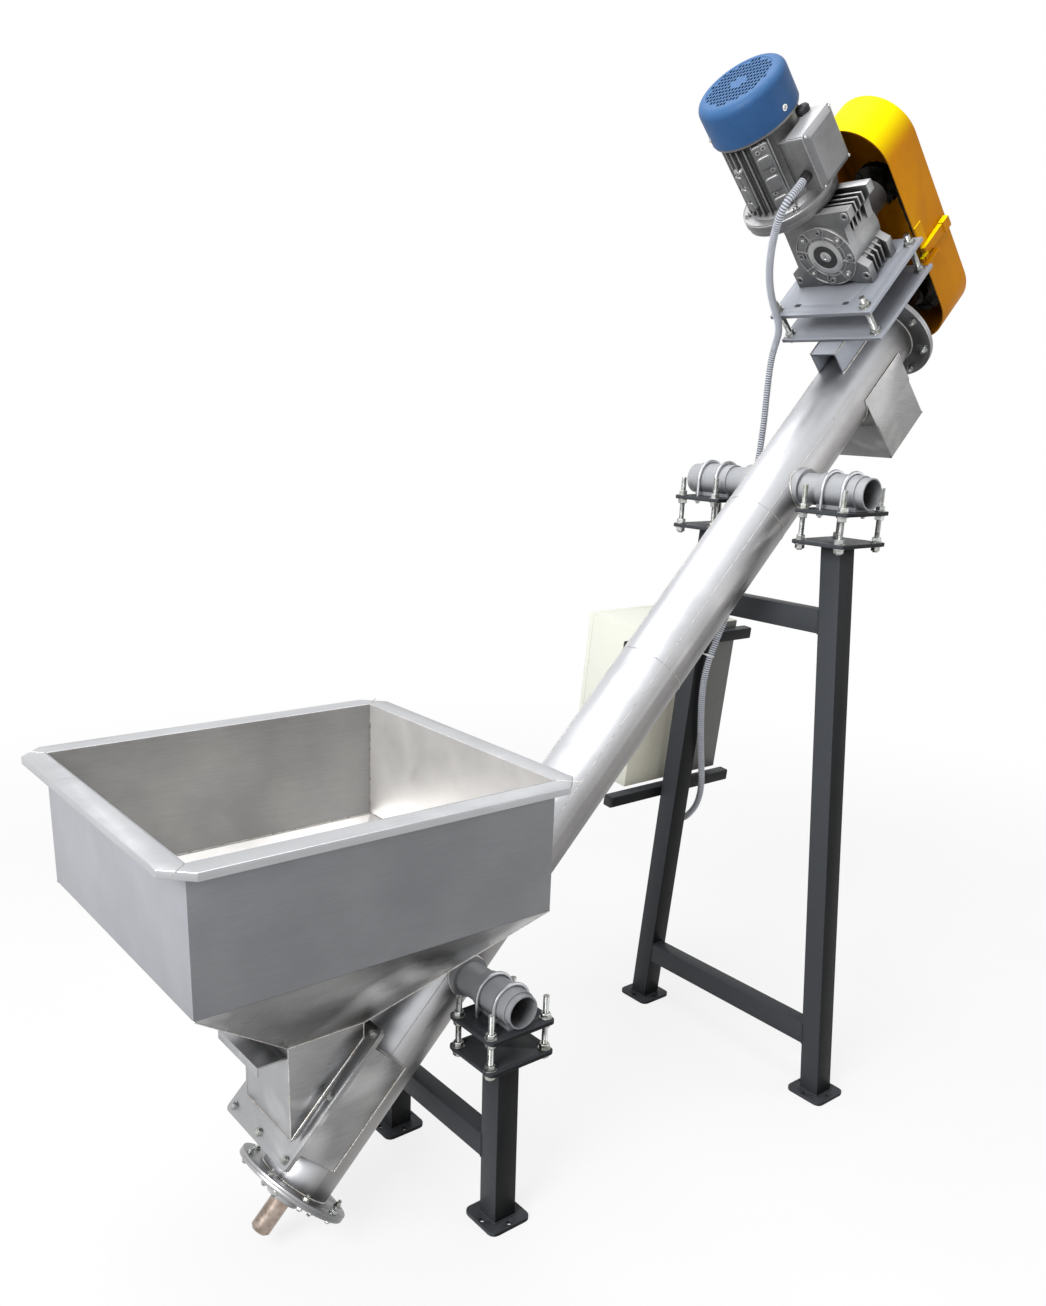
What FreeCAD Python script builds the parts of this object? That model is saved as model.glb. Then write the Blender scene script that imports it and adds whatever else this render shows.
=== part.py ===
# Inclined tube screw conveyor: hopper with slide gate at the low end, tube on two stands,
# discharge chute and chain drive with worm gearbox motor at the high end.
# Frame: +X along the conveyor towards the discharge, +Y to its left, +Z up, floor at z = 0.
# Lengths are in millimetres. "s" runs up along the tube, "n" stands square to it, upwards.
import FreeCAD, Part
import math
import os

V = FreeCAD.Vector

# Tube and screw
tubeAngle = 46.0          # rise of the tube above the floor, degrees
tubeR = 109.5             # outer radius of the conveyor tube
tubeWall = 5.0
tubeLow = 250.0           # s of the low end of the tube
tubeHigh = 3612.0         # s of the high end of the tube
endFlangeR = 177.0
endFlangeT = 9.0
endBoltCircleR = 155.0
endBoltCount = 8
boltR = 6.0
holeClear = 0.5           # radial play of a bolt or stud in its hole
barSides = 8              # flats round a stud, bolt hole or U-bolt
cornerSteps = 3           # flats round a plate corner
shaftR = 30.0             # screw shaft pipe, solid at both ends
shaftWall = 6.0
shaftEndChamfer = 9.0
shaftLowEnd = 92.0        # s of the rounded free end of the shaft
shaftHighEnd = 3880.0
flightR = 99.0
flightPitch = 210.0
flightT = 6.0
flightSteps = 14          # blanks to a turn of the flight
flightGap = 24.0          # free length between the flight and each end plate
bearingBase = 156.0       # square foot of a flanged bearing
bearingBaseT = 16.0
bearingCorner = 24.0
bearingTurn = 13.0        # turn of the bolt pattern from upright, degrees
bearingR = 58.0
bearingNoseT = 26.0
bearingBoltR = 92.0       # circle of the four bearing bolts
runClear = 0.3            # play between a turning piece and what holds it

# Inlet box on the tube and the flange pair under the throat
inletLow = 352.0
inletHigh = 694.0
inletHalfW = 112.0
inletWall = 4.0
inletTop = 200.0          # n of the top of the inlet box
flangeLow = 310.0
flangeHigh = 752.0
flangeHalfW = 177.0
flangeT = 8.0
flangeCorner = 14.0
flangeBoltInset = 24.0

# Throat, gate and hopper
throatX0 = 107.0          # outer faces of the throat, plant x
throatX1 = 335.0
throatHalfW = 130.0
throatWall = 4.0
gateZ = 668.0             # mid height of the gate blade
gateT = 5.0
gateHalfW = 118.0
gateOut = 24.0            # x of the outer edge of the blade, closed
gateLip = 24.0
gateTravel = 220.0
gateClear = 1.0
runnerH = 10.0
hopperX0 = -266.0
hopperX1 = 711.0
hopperHalfW = 446.0
hopperWall = 3.0
transitionZ = 704.0       # bottom of the sloping part
boxZ = 1060.0             # foot of the upright walls
rimZ = 1420.0
rimW = 60.0
rimLip = 20.0
rimChamfer = 62.0

# Stands
legSize = 76.0
legWall = 5.0
footSize = 146.0
footT = 12.0
footCorner = 22.0
footHoleR = 9.0
footHoleCircleR = 57.0
frontS = 1008.0           # s of the front and rear trunnions
rearS = 2912.0
frontTopY = 275.0
frontFootY = 283.0
rearTopY = 263.0
rearFootY = 436.0
headDrop = 165.0          # from the trunnion axis down to the top of a leg
barH = 76.0
barW = 60.0
barWall = 4.0
frontBarTop = 277.0
rearLowBarTop = 259.0
rearHighBarTop = 1717.0
trunnionR = 50.0
trunnionWall = 5.0
trunnionEndY = 368.0
collarW = 12.0
collarR = 62.0
headPlateX = 230.0
headPlateY = 205.0
headPlateT = 12.0
headCorner = 16.0
clampDrop = 55.5          # from the trunnion axis down to the top of the clamp plate
studPitchX = 194.0
studPitchY = 150.0
studR = 9.0
studRise = 72.0           # stud end above the clamp plate
nutR = 16.0
nutT = 14.0
sleeveT = 5.0
sleeveLen = 150.0
saddleW = 70.0
uBoltR = 6.0
uBoltPitch = 76.0
uBoltTail = 14.0
uBoltClear = 0.3
uBoltSides = 6            # flats round the bent bar
uBoltSteps = 8            # bends in its half ring
uBoltNutR = 11.5
uBoltNutT = 9.0

# Discharge chute
chuteLow = 3300.0
chuteHigh = 3522.0
chuteHalfW = 111.0
chuteWall = 4.0
chuteOut = -265.0         # n of the outlet edge

# Drive carriage on the tube
saddleLow = 3326.0
saddleHigh = 3600.0
saddleTubeHalfW = 50.0
saddleTubeWall = 5.0
saddleClear = 1.0         # from the tube's end flange up to the base plate
plateS0 = 3384.0          # both carriage plates
plateS1 = 3720.0
plateY0 = -194.0
plateY1 = 203.0
plateT = 12.0
plateGap = 90.0           # free height between the two plates
plateStudInS = 28.0       # stud centres in from the plate edges
plateStudInNear = 32.0
plateStudInFar = 20.0
plateStudRise = 34.0
plateStudR = 10.0
plateSlotIn = 46.0        # row of slotted holes in from the low edge
plateSlotY = (-77.0, 114.0)
plateSlotR = 7.0
plateSlotLen = 26.0

# Worm gearbox and motor
gearN = 408.0             # n of the output shaft, on y = 0
hubLow = 3509.0           # s of the near hub face
faceIn = 8.0              # end frame in from the near hub face
faceHigh = 3660.0         # s of the far end frame
hubHigh = 3800.0          # s of the long far hub, short of the sprocket
motorY = 108.0            # y of the motor axis: the gearbox centre distance
motorS = 3586.0
outShaftR = 21.0
sealR = 42.0
sealT = 6.0
hubR = 64.0
farHubR = 56.0
gearMiddle = (10.0, 424.0)    # y, n of the middle of the casting's square outline
gearCorners = [(-132, 292), (-98, 292), (-52, 308), (34, 308), (88, 292), (163, 292), (163, 350), (130, 372), (124, 500),
               (132, 548), (60, 557), (-142, 560), (-142, 526), (-108, 496), (-100, 408), (-104, 376), (-134, 352)]
lugT = 28.0               # depth of each lugged end frame
coreShare = 0.84          # core and ribs drawn in from the end frames' outline
ribShare = 0.95
ribT = 6.0
ribCount = 3
drumR = 108.0
drumOut = 4.0
wormR = 58.0
wormLow = 300.0
neckFoot = 512.0
inputFlangeR = 150.0
flangeInputN0 = 560.0
flangeMotorR = 154.0
flangeMotorN0 = 575.0
flangeMotorN1 = 601.0
motorR = 112.0
motorFinR = 127.0
finCount = 30
finT = 4.0
finGapLow = 235.0         # no fins under the terminal box, degrees
finGapHigh = 305.0
fanR = 141.0
fanN0 = 860.0
fanN1 = 982.0
fanRound = 30.0
fanRoundSteps = 4
fanWall = 3.0
fanSlotPitch = 17.0
fanSlotW = 7.0
fanBlankR = 36.0          # plain centre of the cap
tboxHalfS = 76.0
tboxN0 = 642.0
tboxN1 = 822.0
tboxCorner = 14.0
tboxFaceY = -96.0
tboxRootY = -37.0
tboxWall = 4.0
lidT = 10.0

# Chain drive and guard
sprocketS = 3845.0        # s of the chain's middle plane
chainPitch = 25.4
driveTeeth = 17
drivenTeeth = 21
toothT = 15.0
chainPlateGap = toothT + 0.8   # between the inner faces of the side plates
chainPlateT = 3.0
chainPlateH = 21.0
chainPinR = 4.0
guardLow = 3750.0
guardHigh = 3922.0
guardR = 147.0
guardUpperN = 528.0
guardWall = 4.0
guardBevel = 12.0
guardLugRest = 9.0        # length of a guard lug on the base plate
guardLugW = 40.0
guardLugOut = 36.0
guardLugRise = 110.0

# Control cabinet
cabW = 500.0
cabH = 610.0
cabD = 300.0
cabX0 = 1822.0
cabZ0 = 935.0
cabDoorT = 22.0
cabWall = 2.5
channelSize = 41.0
channelX0 = 1725.0
channelX1 = 2362.0
channelLowZ = 903.0
channelHighZ = 1500.0

# Flexible conduit, free between the terminal box and the cabinet
conduitR = 12.5
glandR = 17.0
glandLen = 28.0
glandY = -64.0
glandN = 700.0
cabGlandX = 2206.0
cabGlandIn = 44.0         # in from the cabinet's near face
cabGlandLen = 78.0

sinA = math.sin(math.radians(tubeAngle))
cosA = math.cos(math.radians(tubeAngle))
tilt = FreeCAD.Placement(V(0, 0, 0), FreeCAD.Rotation(V(0, 1, 0), -tubeAngle))
nodes = {}


def box(x0, x1, y0, y1, z0, z1):
    return Part.makeBox(x1 - x0, y1 - y0, z1 - z0, V(x0, y0, z0))


def cyl(r, h, base, axis):
    return Part.makeCylinder(r, h, base, axis)


def placed(shape, placement):
    out = shape.copy()
    out.Placement = placement.multiply(out.Placement)
    return out


def onTube(shape):
    # from the tube's own frame (s, y, n) to the plant frame
    return placed(shape, tilt)


def plantPoint(s, y, n):
    return tilt.multVec(V(s, y, n))


def fuse(first, *rest):
    return first.multiFuse(list(rest)).removeSplitter() if rest else first


def roundedPlate(x0, x1, y0, y1, z0, z1, r):
    points = []
    for cx, cy, start in ((x1 - r, y1 - r, 0), (x0 + r, y1 - r, 90), (x0 + r, y0 + r, 180), (x1 - r, y0 + r, 270)):
        for i in range(cornerSteps + 1):
            a = math.radians(start + 90.0 * i / cornerSteps)
            points.append(V(cx + r * math.cos(a), cy + r * math.sin(a), z0))
    return Part.Face(Part.makePolygon(points + points[:1])).extrude(V(0, 0, z1 - z0))


def hexNut(r, t, base, axis=V(0, 0, 1)):
    return bar(r * math.cos(math.pi / 6), t, base, axis, 6)


def compound(solids):
    return Part.makeCompound(solids)


def save(name, shape):
    nodes[name] = shape


def polygon(sides, r, turn=0.0):
    # corners of a regular outline whose flats lie r from the centre
    corner = r / math.cos(math.pi / sides)
    steps = [2 * math.pi * (i + 0.5) / sides + math.radians(turn) for i in range(sides)]
    return [V(corner * math.cos(a), corner * math.sin(a), 0) for a in steps]


def bar(r, length, base, axis=V(0, 0, 1), sides=None, turn=0.0):
    points = polygon(sides or barSides, r, turn)
    solid = Part.Face(Part.makePolygon(points + points[:1])).extrude(V(0, 0, length))
    return placed(solid, FreeCAD.Placement(base, FreeCAD.Rotation(V(0, 0, 1), axis)))


def turned(profile, base, axis=V(0, 0, 1)):
    # a body of revolution from (radius, height) corners
    points = [V(r, 0, h) for r, h in profile]
    face = Part.Face(Part.makePolygon(points + points[:1]))
    solid = face.revolve(V(0, 0, 0), V(0, 0, 1), 360)
    return placed(solid, FreeCAD.Placement(base, FreeCAD.Rotation(V(0, 0, 1), axis)))


def chainPath(grow):
    # corners of the loop at the link pins, grown outwards: (y, n) round both sprockets
    lowR = chainPitch / (2 * math.sin(math.pi / drivenTeeth))
    highR = chainPitch / (2 * math.sin(math.pi / driveTeeth))
    lean = math.asin((lowR - highR) / gearN)
    points = []
    for centre, r, start, sweep in ((gearN, highR, lean, math.pi - 2 * lean),
                                    (0, lowR, math.pi - lean, math.pi + 2 * lean)):
        count = int(round(sweep * r / chainPitch))
        for i in range(count + 1):
            a = start + sweep * i / count
            points.append((r * math.cos(a) + grow * math.cos(a), centre + (r + grow) * math.sin(a)))
    return points


def obroundWire(s, r, n1):
    edges = [Part.makeLine(V(s, r, 0), V(s, r, n1)),
             Part.Arc(V(s, r, n1), V(s, 0, n1 + r), V(s, -r, n1)).toShape(),
             Part.makeLine(V(s, -r, n1), V(s, -r, 0)),
             Part.Arc(V(s, -r, 0), V(s, 0, -r), V(s, r, 0)).toShape()]
    return Part.Wire(edges)


def frustum(x0, x1, half, z, bx0, bx1, bhalf, bz):
    # straight-sided duct core between an upper and a lower rectangle
    top = [V(x0, -half, z), V(x1, -half, z), V(x1, half, z), V(x0, half, z)]
    low = [V(bx0, -bhalf, bz), V(bx1, -bhalf, bz), V(bx1, bhalf, bz), V(bx0, bhalf, bz)]

    def face(*points):
        return Part.Face(Part.makePolygon(list(points) + [points[0]]))

    faces = [face(*top), face(*low)]
    for i in range(4):
        k = (i + 1) % 4
        faces.append(face(top[i], top[k], low[k], low[i]))
    return Part.makeSolid(Part.makeShell(faces))


def saddleTop():
    # n of the top of the saddle tube: it clears the end flange
    return endFlangeR + saddleClear


def motorPlateTop():
    return saddleTop() + 2 * plateT + plateGap


def conduitRoute():
    # from the terminal box past the carriage plates, behind the tube, beside the rear left leg
    # and up into the cabinet's gland
    nose = motorS - tboxHalfS - glandLen
    end, down = cabinetGlandEnd()
    return [plantPoint(nose, glandY, glandN), plantPoint(nose - 42, glandY, glandN), V(1862, -57, 2932),
            V(1863, -35, 2899), V(1884, -6, 2868), V(1912, 26, 2838), V(1942, 56, 2804), V(1977, 86, 2762),
            V(2020, 114, 2716), V(2070, 136, 2668), V(2122, 152, 2626), V(2160, 173, 2590), V(2188, 204, 2560),
            V(2204, 230, 2516), V(2212, 242, 2462), V(2217, 248, 2394), V(2219, 250, 2290), V(2211, 252, 2166),
            V(2190, 253, 2005), V(2160, 249, 1822), V(2117, 242, 1640), V(2062, 242, 1534), V(2030, 248, 1450),
            V(2022, 259, 1350), V(2044, 272, 1212), V(2082, 291, 1074), V(2126, 315, 960), V(2149, 335, 886),
            V(2154, 358, 824), V(2147, 392, 776), V(2158, 430, 750), V(2182, 466, 764), end + down * 52, end]


def cabinetGlandEnd():
    lean = leanPlacement()
    end = lean.multVec(V(cabGlandX, channelSize + cabGlandIn, cabZ0 - cabGlandLen))
    return end, lean.Rotation.multVec(V(0, 0, -1))


def conduit():
    # straight runs joined by tangent arcs, each as large as its two runs allow
    points = conduitRoute()
    edges = []
    here = points[0]
    length = 0.0
    radii = []
    for before, at, after in zip(points, points[1:], points[2:]):
        u, w = at - before, after - at
        shorter = min(u.Length, w.Length)
        u.normalize()
        w.normalize()
        turn = u.getAngle(w)
        trim = 0.45 * shorter
        r = trim / math.tan(turn / 2)
        radii.append(round(r))
        a, b = at - u * trim, at + w * trim
        half = turn / 2
        bisector = w - u
        bisector.normalize()
        centre = at + bisector * (r / math.cos(half))
        mid = centre - bisector * r
        edges.append(Part.makeLine(here, a))
        edges.append(Part.Arc(a, mid, b).toShape())
        length += (a - here).Length + r * turn
        here = b
    edges.append(Part.makeLine(here, points[-1]))
    length += (points[-1] - here).Length
    path = Part.Wire(edges)
    start = (points[1] - points[0]).normalize()
    ring = Part.Wire([Part.makeCircle(conduitR, points[0], start)])
    tube = path.makePipeShell([ring], True, False)
    print("conduit length", round(length), "radii", radii)
    print("conduit volume share", round(tube.Volume / (math.pi * conduitR ** 2 * length), 4))
    return tube


def conduitGlands():
    way = (conduitRoute()[1] - conduitRoute()[0]).normalize()
    start = V(motorS - tboxHalfS, glandY, glandN)
    low = turned([(0, 0), (glandR, 0), (glandR, glandLen - 12), (conduitR + 2.5, glandLen), (0, glandLen)],
                 start, V(-1, 0, 0))
    down = leanPlacement().Rotation.multVec(V(0, 0, -1))
    at = leanPlacement().multVec(V(cabGlandX, channelSize + cabGlandIn, cabZ0))
    high = turned([(0, 0), (glandR + 3, 0), (glandR + 3, 34), (glandR, 36), (glandR - 3, cabGlandLen), (0, cabGlandLen)],
                  at, down)
    return compound([onTube(low), high])


# Conveyor tube with its inlet and outlet cut out
def conveyorTube():
    length = tubeHigh - tubeLow
    along = V(1, 0, 0)
    tube = cyl(tubeR, length, V(tubeLow, 0, 0), along)
    tube = tube.cut(cyl(tubeR - tubeWall, length + 2, V(tubeLow - 1, 0, 0), along))
    half = inletHalfW - inletWall
    inlet = box(inletLow + inletWall, inletHigh - inletWall, -half, half, 8, tubeR + 10)
    half = chuteHalfW - chuteWall
    outlet = box(chuteLow + chuteWall, chuteHigh - chuteWall, -half, half, -tubeR - 10, -8)
    return onTube(tube.cut(inlet).cut(outlet))


def endHoles(s0, s1):
    holes = []
    for i in range(endBoltCount):
        a = math.radians(360.0 / endBoltCount * (i + 0.5))
        at = V(s0 - 1, endBoltCircleR * math.cos(a), endBoltCircleR * math.sin(a))
        holes.append(bar(boltR + holeClear, s1 - s0 + 2, at, V(1, 0, 0)))
    return holes


def tubeEndFlanges():
    out = []
    for s0 in (tubeLow, tubeHigh - endFlangeT):
        ring = cyl(endFlangeR, endFlangeT, V(s0, 0, 0), V(1, 0, 0))
        ring = ring.cut(cyl(tubeR, endFlangeT + 2, V(s0 - 1, 0, 0), V(1, 0, 0)))
        out.append(onTube(ring.cut(compound(endHoles(s0, s0 + endFlangeT)))))
    return compound(out)


def endPlates():
    out = []
    for s0 in (tubeLow - endFlangeT, tubeHigh):
        disc = cyl(endFlangeR, endFlangeT, V(s0, 0, 0), V(1, 0, 0))
        disc = disc.cut(cyl(shaftR + 3, endFlangeT + 2, V(s0 - 1, 0, 0), V(1, 0, 0)))
        out.append(onTube(disc.cut(compound(endHoles(s0, s0 + endFlangeT)))))
    return compound(out)


def endBearings():
    # square flanged bearings; the foot is turned so that its bolts miss the flight joints
    out = []
    half = bearingBase / 2
    for face, way in ((tubeLow - endFlangeT, -1), (tubeHigh + endFlangeT, 1)):
        foot = roundedPlate(-half, half, -half, half, 0, bearingBaseT, bearingCorner)
        holes = []
        for i in range(4):
            a = math.radians(45 + 90 * i)
            at = V(bearingBoltR * math.cos(a), bearingBoltR * math.sin(a), -1)
            holes.append(bar(boltR + holeClear, bearingBaseT + 2, at))
        foot = foot.cut(compound(holes))
        r, top = bearingR, bearingBaseT + bearingNoseT
        nose = turned([(0, bearingBaseT - 1), (r, bearingBaseT - 1), (r, top - 8), (r - 8, top), (0, top)], V(0, 0, 0))
        body = fuse(foot, nose).cut(cyl(shaftR + runClear, top + 4, V(0, 0, -2), V(0, 0, 1)))
        body.rotate(V(0, 0, 0), V(0, 0, 1), bearingTurn)
        axis = FreeCAD.Rotation(V(0, 0, 1), V(way, 0, 0))
        out.append(onTube(placed(body, FreeCAD.Placement(V(face, 0, 0), axis))))
    return compound(out)


# Screw: shaft, flight and the driven sprocket turn as one
def screwShaft():
    c = shaftEndChamfer
    length = shaftHighEnd - shaftLowEnd
    shaft = turned([(0, 0), (shaftR - c, 0), (shaftR, c), (shaftR, length - c), (shaftR - c, length), (0, length)],
                   V(shaftLowEnd, 0, 0), V(1, 0, 0))
    bore = cyl(shaftR - shaftWall, tubeHigh - tubeLow - 2 * flightGap, V(tubeLow + flightGap, 0, 0), V(1, 0, 0))
    return onTube(shaft.cut(bore))


def screwFlight():
    # flat triangular blanks between the shaft and the rim, flightSteps to a turn
    s0 = tubeLow + flightGap
    length = tubeHigh - flightGap - flightT - s0
    count = int(length / flightPitch * flightSteps)
    inner = shaftR / math.cos(math.pi / flightSteps)

    def rim(i, r, lift):
        a = 2 * math.pi * i / flightSteps
        return V(s0 + flightPitch * i / flightSteps + lift, r * math.cos(a), r * math.sin(a))

    faces = []

    def facet(*points):
        faces.append(Part.Face(Part.makePolygon(list(points) + [points[0]])))

    for i in range(count):
        for lift in (0, flightT):
            facet(rim(i, inner, lift), rim(i, flightR, lift), rim(i + 1, flightR, lift))
            facet(rim(i, inner, lift), rim(i + 1, flightR, lift), rim(i + 1, inner, lift))
        for r in (inner, flightR):
            facet(rim(i, r, 0), rim(i + 1, r, 0), rim(i + 1, r, flightT), rim(i, r, flightT))
    for i in (0, count):
        facet(rim(i, inner, 0), rim(i, flightR, 0), rim(i, flightR, flightT), rim(i, inner, flightT))
    flight = Part.makeSolid(Part.makeShell(faces))
    if flight.Volume < 0:
        flight.reverse()
    return onTube(flight)


def sprocket(teeth, n0, bore, hubLen, hubOuter, s):
    pitchR = chainPitch / (2 * math.sin(math.pi / teeth))
    tipR = pitchR + 4.0
    rootR = pitchR - 8.2
    step = 2 * math.pi / teeth
    points = []
    for i in range(teeth):
        for r, f in ((rootR, -0.32), (tipR, -0.10), (tipR, 0.10), (rootR, 0.32)):
            a = step * (i + f)
            points.append(V(0, r * math.cos(a), r * math.sin(a)))
    wheel = Part.Face(Part.makePolygon(points + points[:1])).extrude(V(toothT, 0, 0))
    wheel.translate(V(s - toothT / 2, 0, 0))
    hub = cyl(hubOuter, hubLen, V(s - toothT / 2 - hubLen + 1, 0, 0), V(1, 0, 0))
    wheel = fuse(wheel, hub).cut(cyl(bore, hubLen + toothT + 2, V(s - toothT / 2 - hubLen, 0, 0), V(1, 0, 0)))
    wheel.translate(V(0, 0, n0))
    return onTube(wheel)


def driveChain():
    # one fixed loop: two rows of side plates as bands, joined by pins on the straight runs
    def outline(grow, s):
        points = [V(s, y, n) for y, n in chainPath(grow)]
        return Part.Face(Part.makePolygon(points + points[:1]))

    def band(s):
        ring = outline(chainPlateH / 2, s).cut(outline(-chainPlateH / 2, s))
        return ring.extrude(V(chainPlateT, 0, 0))

    near = band(sprocketS - chainPlateGap / 2 - chainPlateT)
    far = band(sprocketS + chainPlateGap / 2)
    pins = []
    lowR = chainPitch / (2 * math.sin(math.pi / drivenTeeth))
    highR = chainPitch / (2 * math.sin(math.pi / driveTeeth))
    lean = math.asin((lowR - highR) / gearN)
    c, d = math.cos(lean), math.sin(lean)
    run = math.sqrt(gearN * gearN - (lowR - highR) ** 2)
    for side in (1, -1):
        for i in range(2, int(run / chainPitch) - 1):
            t = i * chainPitch
            at = V(sprocketS - chainPlateGap / 2 - chainPlateT - 1, side * (lowR * c - t * d), lowR * d + t * c)
            pins.append(bar(chainPinR, chainPlateGap + 2 * chainPlateT + 2, at, V(1, 0, 0), 6))
    return onTube(near.fuse([far] + pins))


def obround(s, r, n1):
    return Part.Face(obroundWire(s, r, n1))


def chainGuard():
    # open towards the gearbox, with a bevelled edge round its closed far face
    depth = guardHigh - guardLow
    bevel = guardBevel
    shell = obround(guardLow, guardR, guardUpperN).extrude(V(depth - bevel, 0, 0))
    edge = Part.makeLoft([obroundWire(guardHigh - bevel, guardR, guardUpperN),
                          obroundWire(guardHigh, guardR - bevel, guardUpperN)], True, True)
    inside = obround(guardLow - 1, guardR - guardWall, guardUpperN).extrude(V(depth + 1 - bevel - guardWall, 0, 0))
    tip = Part.makeLoft([obroundWire(guardHigh - bevel - guardWall, guardR - guardWall, guardUpperN),
                         obroundWire(guardHigh - guardWall, guardR - bevel, guardUpperN)], True, True)
    body = fuse(shell, edge).cut(inside).cut(tip)
    # lugs that rest on the base plate, with a folded strap up the guard's side
    n0 = saddleTop() + plateT
    lugs = []
    for side in (1, -1):
        y0, y1 = sorted((side * (guardR + guardLugOut), side * (guardR - 1)))
        lugs.append(box(plateS1 - guardLugRest, guardLow + guardLugW, y0, y1, n0, n0 + guardWall))
        y0, y1 = sorted((side * (guardR + guardWall), side * (guardR - 0.5)))
        lugs.append(box(guardLow, guardLow + guardLugW, y0, y1, n0, n0 + guardLugRise))
    return onTube(fuse(body, *lugs))


# Hopper, gate, throat and inlet
def hopperBox():
    outer = box(hopperX0, hopperX1, -hopperHalfW, hopperHalfW, boxZ, rimZ)
    w = hopperWall
    inner = box(hopperX0 + w, hopperX1 - w, -hopperHalfW + w, hopperHalfW - w, boxZ - 1, rimZ + 1)
    return outer.cut(inner)


def hopperRim():
    x0, x1, y = hopperX0 - rimW, hopperX1 + rimW, hopperHalfW + rimW
    c, w = rimChamfer, hopperWall

    def outline(grow, z):
        a, b, h, k = x0 - grow, x1 + grow, y + grow, c + 0.41 * grow
        return Part.Face(Part.makePolygon([
            V(a + k, -h, z), V(b - k, -h, z), V(b, -h + k, z), V(b, h - k, z),
            V(b - k, h, z), V(a + k, h, z), V(a, h - k, z), V(a, -h + k, z), V(a + k, -h, z)]))

    body = outline(0, rimZ - rimLip).extrude(V(0, 0, rimLip))
    under = outline(-w, rimZ - rimLip - 1).extrude(V(0, 0, rimLip + 1 - w))
    opening = box(hopperX0, hopperX1, -hopperHalfW, hopperHalfW, rimZ - rimLip - 2, rimZ + 1)
    return body.cut(under).cut(opening)


def hopperTransition():
    t, w = throatWall, hopperWall
    outer = frustum(hopperX0, hopperX1, hopperHalfW, boxZ, throatX0, throatX1, throatHalfW, transitionZ)
    inner = frustum(hopperX0 + w, hopperX1 - w, hopperHalfW - w, boxZ,
                    throatX0 + t, throatX1 - t, throatHalfW - t, transitionZ)
    return outer.cut(inner)


def belowFlange(n):
    # everything under the plane that lies n above the tube axis
    return onTube(box(-3000, 5000, -2000, 2000, n - 4000, n))


def gateSlot():
    y, c = gateHalfW + gateClear, gateClear
    return box(throatX0 - 1, throatX0 + throatWall + 1, -y, y,
               gateZ - gateT / 2 - 0.3, gateZ + gateT / 2 + c)


def throat():
    top = inletTop + 2 * flangeT
    outer = box(throatX0, throatX1, -throatHalfW, throatHalfW, 0, transitionZ)
    t = throatWall
    inner = box(throatX0 + t, throatX1 - t, -throatHalfW + t, throatHalfW - t, -1, transitionZ + 1)
    duct = outer.cut(inner)
    z1 = gateZ - gateT / 2 - 0.3
    runners = [box(throatX0 + t, throatX1 - t, y0, y1, z1 - runnerH, z1)
               for y0, y1 in ((-throatHalfW + t, -gateHalfW + 10), (gateHalfW - 10, throatHalfW - t))]
    return fuse(duct, *runners).cut(belowFlange(top)).cut(gateSlot())


def slideGate():
    x1 = throatX1 - throatWall - 1.5
    z0 = gateZ - gateT / 2
    blade = box(gateOut, x1, -gateHalfW, gateHalfW, z0, z0 + gateT)
    lip = box(gateOut, gateOut + gateT, -gateHalfW, gateHalfW, z0 - gateLip, z0)
    return fuse(blade, lip)


def flangePlate(n0):
    plate = roundedPlate(flangeLow, flangeHigh, -flangeHalfW, flangeHalfW, n0, n0 + flangeT, flangeCorner)
    holes = []
    s0, s1 = flangeLow + flangeBoltInset, flangeHigh - flangeBoltInset
    y1 = flangeHalfW - flangeBoltInset
    for s, y in flangeBoltPlaces(s0, s1, y1):
        holes.append(bar(boltR + holeClear, flangeT + 2, V(s, y, n0 - 1)))
    return plate.cut(compound(holes))


def flangeBoltPlaces(s0, s1, y1):
    mid = (s0 + s1) / 2
    return [(s0, -y1), (s0, 0), (s0, y1), (mid, -y1), (mid, y1), (s1, -y1), (s1, 0), (s1, y1)]


def throatFlange():
    t = throatWall
    duct = box(throatX0 + t, throatX1 - t, -throatHalfW + t, throatHalfW - t, 0, transitionZ)
    return onTube(flangePlate(inletTop + flangeT)).cut(duct)


def inletFlange():
    w = inletWall
    opening = box(inletLow + w, inletHigh - w, -inletHalfW + w, inletHalfW - w, inletTop - 1, inletTop + flangeT + 1)
    return onTube(flangePlate(inletTop).cut(opening))


def inletBox():
    w = inletWall
    outer = box(inletLow, inletHigh, -inletHalfW, inletHalfW, 0, inletTop)
    inner = box(inletLow + w, inletHigh - w, -inletHalfW + w, inletHalfW - w, -1, inletTop + 1)
    core = cyl(tubeR, 1000, V(0, 0, 0), V(1, 0, 0))
    return onTube(outer.cut(inner).cut(core))


def dischargeChute():
    w = chuteWall
    outer = box(chuteLow, chuteHigh, -chuteHalfW, chuteHalfW, chuteOut, 0)
    inner = box(chuteLow + w, chuteHigh - w, -chuteHalfW + w, chuteHalfW - w, chuteOut - 1, 1)
    core = cyl(tubeR, 1000, V(chuteLow - 300, 0, 0), V(1, 0, 0))
    return onTube(outer.cut(inner).cut(core))


# Stands
def trunnionCentre(s):
    return plantPoint(s, 0, 0)


def squareTube(x0, x1, y0, y1, wall, base, way):
    outer = Part.makePolygon([V(x0, y0, base), V(x1, y0, base), V(x1, y1, base), V(x0, y1, base), V(x0, y0, base)])
    w = wall
    inner = Part.makePolygon([V(x0 + w, y0 + w, base), V(x1 - w, y0 + w, base), V(x1 - w, y1 - w, base),
                              V(x0 + w, y1 - w, base), V(x0 + w, y0 + w, base)])
    return Part.Face([outer, inner]).extrude(way)


def leg(s, footY, topY, side):
    at = trunnionCentre(s)
    top = at.z - headDrop
    h = legSize / 2
    tube = squareTube(at.x - h, at.x + h, -h, h, legWall, footT, V(0, side * (topY - footY), top - footT))
    tube.translate(V(0, side * footY, 0))
    return tube


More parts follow.
